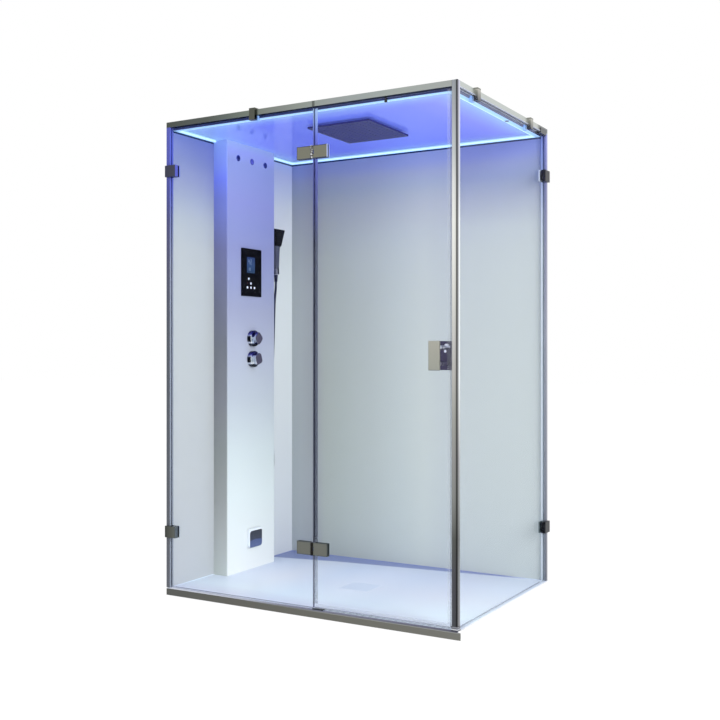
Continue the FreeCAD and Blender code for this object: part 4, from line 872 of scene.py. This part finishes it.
# Painted light and shade: the face darkens upwards, grows blue under the ceiling's light and
# darkens towards the rear.
column_face = graded(
    column_z, (0.03, 245, 248, 246), (0.39, 230, 239, 237), (0.63, 215, 225, 225),
    (0.87, 196, 204, 211), (1.12, 183, 189, 206), (1.31, 166, 171, 196), (1.45, 156, 163, 198),
    (1.60, 151, 157, 199), (1.72, 153, 161, 210), (1.84, 162, 168, 221), (2.03, 176, 189, 235),
    (2.08, 188, 199, 255), (2.12, 192, 214, 255)
)
column_face = column_finish.stained(column_face, eased(column_y, -0.10, 0.22, 1.0, 0.90))
# The side face, turned from the lamps, is painted darker: painted shade, blue at the top.
column_side = graded(
    column_z, (0.05, 203, 209, 204), (0.15, 193, 198, 196), (0.39, 165, 169, 169),
    (0.63, 146, 152, 152), (0.87, 136, 139, 147), (1.12, 123, 127, 137), (1.36, 118, 122, 147),
    (1.60, 118, 122, 167), (1.84, 129, 141, 221), (1.94, 136, 152, 254), (2.12, 175, 198, 255)
)
column_colour = mixed(eased(column_y, -0.1535, -0.1570), column_face, column_side)
# A painted contact shadow, a soft grey line, lies round the steam outlet.
outlet_off = (abs(column_y - 0.0570) - 0.0535) | (abs(column_z - 0.1860) - 0.0470)
outlet_shade = eased(outlet_off, 0.0, 0.007, 0.82, 1.0)
column_colour = column_finish.stained(column_colour, outlet_shade)
column_finish.paint(column_colour, 0.02, 2.0).pebbled(0.02, 0.0003, 240.0, 2.0)
column_finish.on("column_housing")


# ---------------- column lamps
# Three small lamps in the column's head: a turned rim pressed into the board, and in it a
# lens of four lobes over the light.
def ring_about(centre, radius, count, lobes=0, depth=0.0):
    """Points round a centre in the plane square to X, pulled in between a number of lobes."""
    ring = []
    for step in range(count):
        turn = 2 * math.pi * step / count
        reach = radius * (1.0 - depth * (0.5 - 0.5 * math.cos(lobes * turn)))
        ring.append(centre + Vector((0.0, reach * math.cos(turn), reach * math.sin(turn))))
    return ring


middle_lamp = 0.042
lamp_y_places = (-0.070, middle_lamp, 0.154)
lamp_level = 2.049
lens_back = -0.6384
lens_radius = 0.0125
# The rims are painted blue: painted reflection of the ceiling's light.
Surface("lamp_rim", 0.25, 0.7).paint(seen(112, 122, 206), 0.1, 200.0).on("column_lamps")
lens_finish = Surface("lamp_lens", 0.15)
[lens_y] = lens_finish.places("Y")
# The middle lens is painted lighter than the outer two: painted reflection.
lens_colour = mixed(
    eased(abs(lens_y - middle_lamp), 0.03, 0.02), seen(26, 30, 96), seen(98, 100, 192)
)
lens_finish.paint(lens_colour, 0.25, 160.0)
for number, lamp_y in enumerate(lamp_y_places):
    lens_shape = bmesh.new()
    rings = []
    for proud, share, lobe_depth in (
        (0.0, 1.0, 0.22), (0.0008, 1.0, 0.22), (0.0014, 0.86, 0.26), (0.0018, 0.5, 0.30)
    ):
        middle = Vector((lens_back + proud, lamp_y, lamp_level))
        rings.append(ring_about(middle, lens_radius * share, 48, 4, lobe_depth))
    skin_rings(lens_shape, rings)
    lens = mesh_piece(f"lamp_lens_{number + 1}", lens_shape)
    lens_finish.on(lens)
    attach(lens, "cabin")

# ---------------- control panel
# A black glass panel stuck over its electronics box, with a sunk display and five round keys.
# The display shows plain numbers; each key has a lit sign.
Surface("panel_black", 0.18, shine=0.03).paint(seen(11, 11, 17), 0.3, 60.0).on("control_panel")
display = Surface("display", 0.15, shine=0.05)
[display_z] = display.places("Z")
display_colour = graded(
    display_z, (1.496, 40, 62, 90), (1.535, 52, 74, 112), (1.574, 44, 60, 100)
)
display.paint(display_colour, 0.15, 200.0).lit(display_colour, 0.12).on("display_window")

key_white = Surface("lit_key", 0.4, colour=seen(225, 232, 250))
key_white.lit(key_white.grained(seen(228, 234, 252), 0.1, 300.0), 0.6)
sign_finish = Surface("key_sign", 0.4).paint(seen(96, 104, 128), 0.2, 400.0)


def plate_of(shape, corners, back, thickness):
    """A thin plate square to X, of corners given as distances along Y and Z."""
    rings = [[Vector((x, y, z)) for y, z in corners] for x in (back, back + thickness)]
    skin_rings(shape, rings)


def bar_corners(y0, z0, y1, z1, width):
    """The corners of a bar from one point to another."""
    along = Vector((y1 - y0, z1 - z0)).normalized() * width / 2
    across = Vector((-along.y, along.x))
    start, end = Vector((y0, z0)), Vector((y1, z1))
    return [start - across, end - across, end + across, start + across]


# Each digit is made of bars: top, upper left, upper right, middle, lower left, lower right, low.
digit_bars = {
    "0": (0, 1, 2, 4, 5, 6), "2": (0, 2, 3, 4, 6), "3": (0, 2, 3, 5, 6), "4": (1, 2, 3, 5)
}


def digit(shape, figure, low_y, low_z, width, height):
    half = height / 2
    ends = (
        ((0, height), (width, height)), ((0, half), (0, height)),
        ((width, half), (width, height)), ((0, half), (width, half)), ((0, 0), (0, half)),
        ((width, 0), (width, half)), ((0, 0), (width, 0))
    )
    for number in digit_bars[figure]:
        (y0, z0), (y1, z1) = ends[number]
        corners = bar_corners(low_y + y0, low_z + z0, low_y + y1, low_z + z1, width * 0.2)
        plate_of(shape, corners, glass_level, 0.00012)


glass_level = -0.6332
digits_shape = bmesh.new()
for figure, low_y, low_z, width, height in (
    ("4", 0.0040, 1.540, 0.0095, 0.022), ("2", 0.0200, 1.540, 0.0095, 0.022),
    ("3", 0.0060, 1.509, 0.0055, 0.012), ("0", 0.0160, 1.509, 0.0055, 0.012),
):
    digit(digits_shape, figure, low_y, low_z, width, height)
digits = mesh_piece("display_digits", digits_shape, False)
digits_finish = Surface("display_digits", 0.4, colour=seen(108, 132, 156))
digits_finish.lit(digits_finish.grained(seen(110, 134, 158), 0.1, 300.0), 0.3).on(digits)
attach(digits, "cabin")

key_level = -0.6324
sign_thickness = 0.0002


def arc_points(reach, angles, y=0.0, z=0.0):
    """Points at one distance from a middle, at angles in degrees."""
    turns = [math.radians(angle) for angle in angles]
    return [(y + reach * math.cos(turn), z + reach * math.sin(turn)) for turn in turns]


def sign_outlines(key_name):
    """The lit sign on one key: an arrow, a switch mark, a lamp or rising steam."""
    if key_name in ("key_up", "key_down"):
        way = 1 if key_name == "key_up" else -1
        half, foot, tip = 0.0030 * way, -0.0018 * way, 0.0034 * way
        return [[(-half, foot), (half, foot), (0, tip)]]
    if key_name == "key_power":
        inner, outer = (arc_points(reach, range(130, 411, 20)) for reach in (0.0024, 0.0036))
        arcs = [[inner[i], outer[i], outer[i + 1], inner[i + 1]] for i in range(len(inner) - 1)]
        return arcs + [bar_corners(0.0, 0.0008, 0.0, 0.0042, 0.0013)]
    if key_name == "key_light":
        rays = zip(*(arc_points(reach, range(0, 360, 45)) for reach in (0.0032, 0.0046)))
        rays = [bar_corners(*low, *high, 0.0008) for low, high in rays]
        return [arc_points(0.0026, [step * 22.5 for step in range(16)])] + rays
    outlines = []
    for shift in (-0.0024, 0.0, 0.0024):
        wave = [(shift + 0.0007 * math.sin(i * 1.05), i * 0.0012 - 0.0036) for i in range(7)]
        outlines += [bar_corners(*low, *high, 0.0011) for low, high in zip(wave, wave[1:])]
    return outlines


standby_shape = bmesh.new()
standby_outline = arc_points(0.0016, range(0, 360, 30), -0.0030, 1.4460)
plate_of(standby_shape, standby_outline, -0.6331, 0.0003)
standby_light = mesh_piece("standby_light", standby_shape, False)
Surface("standby_light", 0.3).paint(seen(150, 44, 50), 0.2, 900.0).on(standby_light)
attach(standby_light, "cabin")

for key_name, key_y, key_z in (
    ("key_down", -0.0045, 1.424), ("key_power", 0.0245, 1.424), ("key_up", 0.0535, 1.424),
    ("key_light", 0.0245, 1.4446), ("key_steam", 0.0070, 1.467),
):
    key_white.on(key_name)
    sign_shape = bmesh.new()
    for outline in sign_outlines(key_name):
        corners = [(key_y + across, key_z + up) for across, up in outline]
        plate_of(sign_shape, corners, key_level, sign_thickness)
    sign = mesh_piece(key_name + "_sign", sign_shape, False)
    sign_finish.on(sign)
    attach(sign, key_name)

# ---------------- valve knobs
# Two chromed knobs with four flats, temperature above and flow below, each turning on a wide
# chromed sleeve. A dark rubber cap with a raised mesh is glued into each knob's end.
knob_y = 0.042
upper_knob = 1.1736
lower_knob = 1.0717
chrome = Surface("knob_chrome", 0.10, 1.0)
chrome_x, chrome_y, chrome_z = chrome.places()
knob_middle = (chrome_z > (upper_knob + lower_knob) / 2) * (upper_knob - lower_knob) + lower_knob
chrome_rise = chrome_z - knob_middle
# Painted reflections in bands round each knob: dark below, white across the middle and navy above
# under the ceiling.
chrome_colour = graded(
    chrome_rise, (-0.040, 46, 48, 58), (-0.030, 52, 54, 64), (-0.026, 120, 124, 134),
    (-0.023, 238, 241, 246), (-0.010, 196, 204, 212), (0.006, 214, 222, 230),
    (0.014, 190, 196, 220), (0.020, 88, 88, 160), (0.030, 52, 50, 110), (0.040, 50, 52, 96)
)
# A dark lobe of painted reflection on the near side, at mid height on each knob.
dark_reflection_lobe = eased(chrome_y, knob_y - 0.027, knob_y - 0.033)
dark_reflection_lobe = dark_reflection_lobe * eased(abs(chrome_rise + 0.003), 0.017, 0.012)
chrome_colour = mixed(dark_reflection_lobe * (chrome_x < -0.6195), chrome_colour, seen(26, 28, 34))
chrome.paint(chrome_colour, 0.06, 200.0).feed("Roughness", chrome.noise(120.0) * 0.08 + 0.06)
chrome.on("knob_sleeves", "temperature_knob", "flow_knob")

cap_finish = Surface("knob_cap", 0.5, shine=0.3)
cap_y, cap_z = cap_finish.places("YZ")
mesh_pitch = 0.0036
mesh_rate = 2 * math.pi / mesh_pitch
cap_weave = ((cap_y + cap_z) * mesh_rate).sine() * ((cap_y - cap_z) * mesh_rate).sine()
cap_colour = mixed(eased(cap_weave, -0.2, 0.7), seen(60, 56, 76), seen(88, 84, 104))
cap_finish.feed("Base Color", cap_colour).raised(cap_weave, 0.5, 0.0004)


def cap_ring(x, half, corner, level, turn):
    """A square with well rounded corners, turned about a knob's middle."""
    ring = []
    for quarter in range(4):
        way = math.radians(45 + 90 * quarter)
        for step in range(9):
            angle = math.radians(90 * quarter + 90 * step / 8)
            inward = (half - corner) * math.sqrt(2)
            reach_y = inward * math.cos(way) + corner * math.cos(angle)
            reach_z = inward * math.sin(way) + corner * math.sin(angle)
            turned_y = reach_y * math.cos(turn) - reach_z * math.sin(turn)
            turned_z = reach_y * math.sin(turn) + reach_z * math.cos(turn)
            ring.append(Vector((x, knob_y + turned_y, level + turned_z)))
    return ring


knob_end = -0.5966


def knob_cap(name, body, level, turn):
    """The rubber cap, turned like its knob."""
    shape = bmesh.new()
    rings = []
    for proud, half, corner in (
        (-0.0006, 0.0245, 0.0130), (0.0004, 0.0245, 0.0130), (0.0008, 0.0236, 0.0122)
    ):
        rings.append(cap_ring(knob_end + proud, half, corner, level, turn))
    skin_rings(shape, rings)
    cap = mesh_piece(name, shape, False)
    cap_finish.on(cap)
    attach(cap, body)


knob_cap("temperature_knob_cap", "temperature_knob", upper_knob, math.radians(45))
knob_cap("flow_knob_cap", "flow_knob", lower_knob, math.radians(20))

# ---------------- steam outlet
# A moulded hood clipped over the steam pipe's end near the floor, white at its rim; its face
# has an upper facet painted dark and a lower one painted slate-blue, as painted shade and light,
# and steam leaves below.
outlet = Surface("outlet_hood", 0.3, shine=0.3)
outlet_x, outlet_y, outlet_z = outlet.places()
facet_line = 0.1785 - abs(outlet_y - 0.050) * 0.10
# Painted shade and light: the upper facet dark, the lower one slate-blue.
outlet_colour = mixed(
    eased(outlet_z - facet_line, -0.001, 0.002),
    graded(outlet_z, (0.139, 96, 110, 150), (0.178, 80, 92, 134)),
    graded(outlet_z, (0.178, 64, 68, 84), (0.222, 58, 62, 70))
)
beyond_y = (abs(outlet_y - 0.0590) - 0.0375) | 0.0
beyond_z = (abs(outlet_z - 0.1800) - 0.0275) | 0.0
outlet_rim = eased(beyond_y * beyond_y + beyond_z * beyond_z, 0.000200, 0.000225)
outlet_colour = mixed(outlet_rim | (outlet_x < -0.6365), outlet_colour, seen(238, 244, 250))
outlet.paint(outlet_colour, 0.08, 60.0).pebbled(0.04, 0.0003, 600.0, 2.0).on("steam_outlet_cover")

# ---------------- hand shower
# A moulded hand shower: a dark grey grip that widens upwards into a flat black head, with a
# black spray plate of soft nozzles on the side towards the cabin. It stands in a bracket.
hand_x, hand_y = -0.668, 0.288


def shell_ring(height, shift, half_x, half_y, front_corner, rear_corner):
    """One level outline: flat towards the cabin, rounder towards the wall."""
    ring = []
    for quarter, (side_x, side_y) in enumerate(((1, 1), (-1, 1), (-1, -1), (1, -1))):
        corner = front_corner if side_x > 0 else rear_corner
        for step in range(8):
            angle = math.radians(90 * quarter + 90 * step / 7)
            out = shift + side_x * (half_x - corner) + corner * math.cos(angle)
            along = side_y * (half_y - corner) + corner * math.sin(angle)
            ring.append(Vector((hand_x + out, hand_y + along, height)))
    return ring


# Height, shift outwards, half width and depth, and the corners' radii, from the nut upwards.
shell_levels = (
    (1.5052, 0.0, 0.0094, 0.0094, 0.0094, 0.0094), (1.5066, 0.0, 0.0104, 0.0104, 0.0104, 0.0104),
    (1.5386, 0.0, 0.0105, 0.0105, 0.0105, 0.0105), (1.5394, 0.0, 0.0150, 0.0150, 0.0150, 0.0150),
    (1.5410, 0.0, 0.0164, 0.0164, 0.0164, 0.0164), (1.5700, 0.0, 0.0170, 0.0171, 0.0160, 0.0170),
    (1.6100, 0.0, 0.0176, 0.0180, 0.0150, 0.0170), (1.6400, 0.0, 0.0172, 0.0190, 0.0120, 0.0150),
    (1.6500, 0.0, 0.0160, 0.0210, 0.0090, 0.0120), (1.6545, 0.0, 0.0152, 0.0250, 0.0060, 0.0100),
    (1.6580, 0.0004, 0.0150, 0.0300, 0.0040, 0.0090),
    (1.6750, 0.0023, 0.0150, 0.0340, 0.0035, 0.0090),
    (1.7000, 0.0052, 0.0150, 0.0395, 0.0035, 0.0090),
    (1.7250, 0.0081, 0.0150, 0.0450, 0.0035, 0.0090),
    (1.7370, 0.0095, 0.0149, 0.0480, 0.0035, 0.0090),
    (1.7400, 0.0099, 0.0142, 0.0476, 0.0035, 0.0085),
    (1.7409, 0.0100, 0.0128, 0.0462, 0.0030, 0.0080)
)
shell_shape = bmesh.new()
skin_rings(shell_shape, [shell_ring(*level) for level in shell_levels])
handset_shell = mesh_piece("handset_shell", shell_shape)
shell = Surface("handset_shell", 0.34, shine=0.08)
[shell_z] = shell.places("Z")
# The grip's foot by the nut is painted lighter: a painted highlight.
shell_colour = graded(
    shell_z, (1.505, 150, 154, 170), (1.538, 84, 88, 104), (1.600, 78, 82, 100),
    (1.652, 84, 88, 104), (1.656, 17, 17, 23), (1.741, 15, 15, 21)
)
shell.paint(shell_colour, 0.12, 90.0).pebbled(0.04, 0.0003, 700.0, 2.0).on(handset_shell)
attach(handset_shell, "handset")
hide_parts("handset_body")
Surface("spray_plate", 0.35, shine=0.08).paint(seen(16, 16, 22), 0.3, 300.0).on("handset_face")

# The nozzles stand 1.2 mm proud of the sloping plate, in staggered rows.
nozzle_shape = bmesh.new()
nozzle_rings = ((-0.0006, 0.0018), (0.0006, 0.0017), (0.0012, 0.0011))
nozzle_pitch = 0.0105
row_pitch = 0.0100
first_row = 1.668
plate_foot = 1.655
plate_slope = 0.010 / 0.086
for row in range(7):
    row_z = first_row + row * row_pitch
    row_x = hand_x + 0.018 + (row_z - plate_foot) * plate_slope
    row_half = 0.017 + (row_z - first_row) * 0.30
    for column in range(-3, 4):
        across = (column + (0.5 if row % 2 else 0.0)) * nozzle_pitch
        if abs(across) <= row_half:
            rings = []
            for out, reach in nozzle_rings:
                middle = Vector((row_x + out, hand_y + across, row_z))
                rings.append(ring_about(middle, reach, 10))
            skin_rings(nozzle_shape, rings)
nozzles = mesh_piece("handset_nozzles", nozzle_shape)
Surface("soft_nozzles", 0.5).paint(seen(58, 60, 70), 0.2, 500.0).on(nozzles)
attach(nozzles, "handset")

bracket = Surface("bracket_chrome", 0.15, 1.0).paint(seen(120, 124, 142), 0.3, 120.0)
bracket.feed("Roughness", bracket.noise(150.0) * 0.08 + 0.10).on("handset_bracket", "hose_elbow")
Surface("hose_nut", 0.25, 0.8).paint(seen(48, 52, 76), 0.2, 200.0).on("handset_nut")
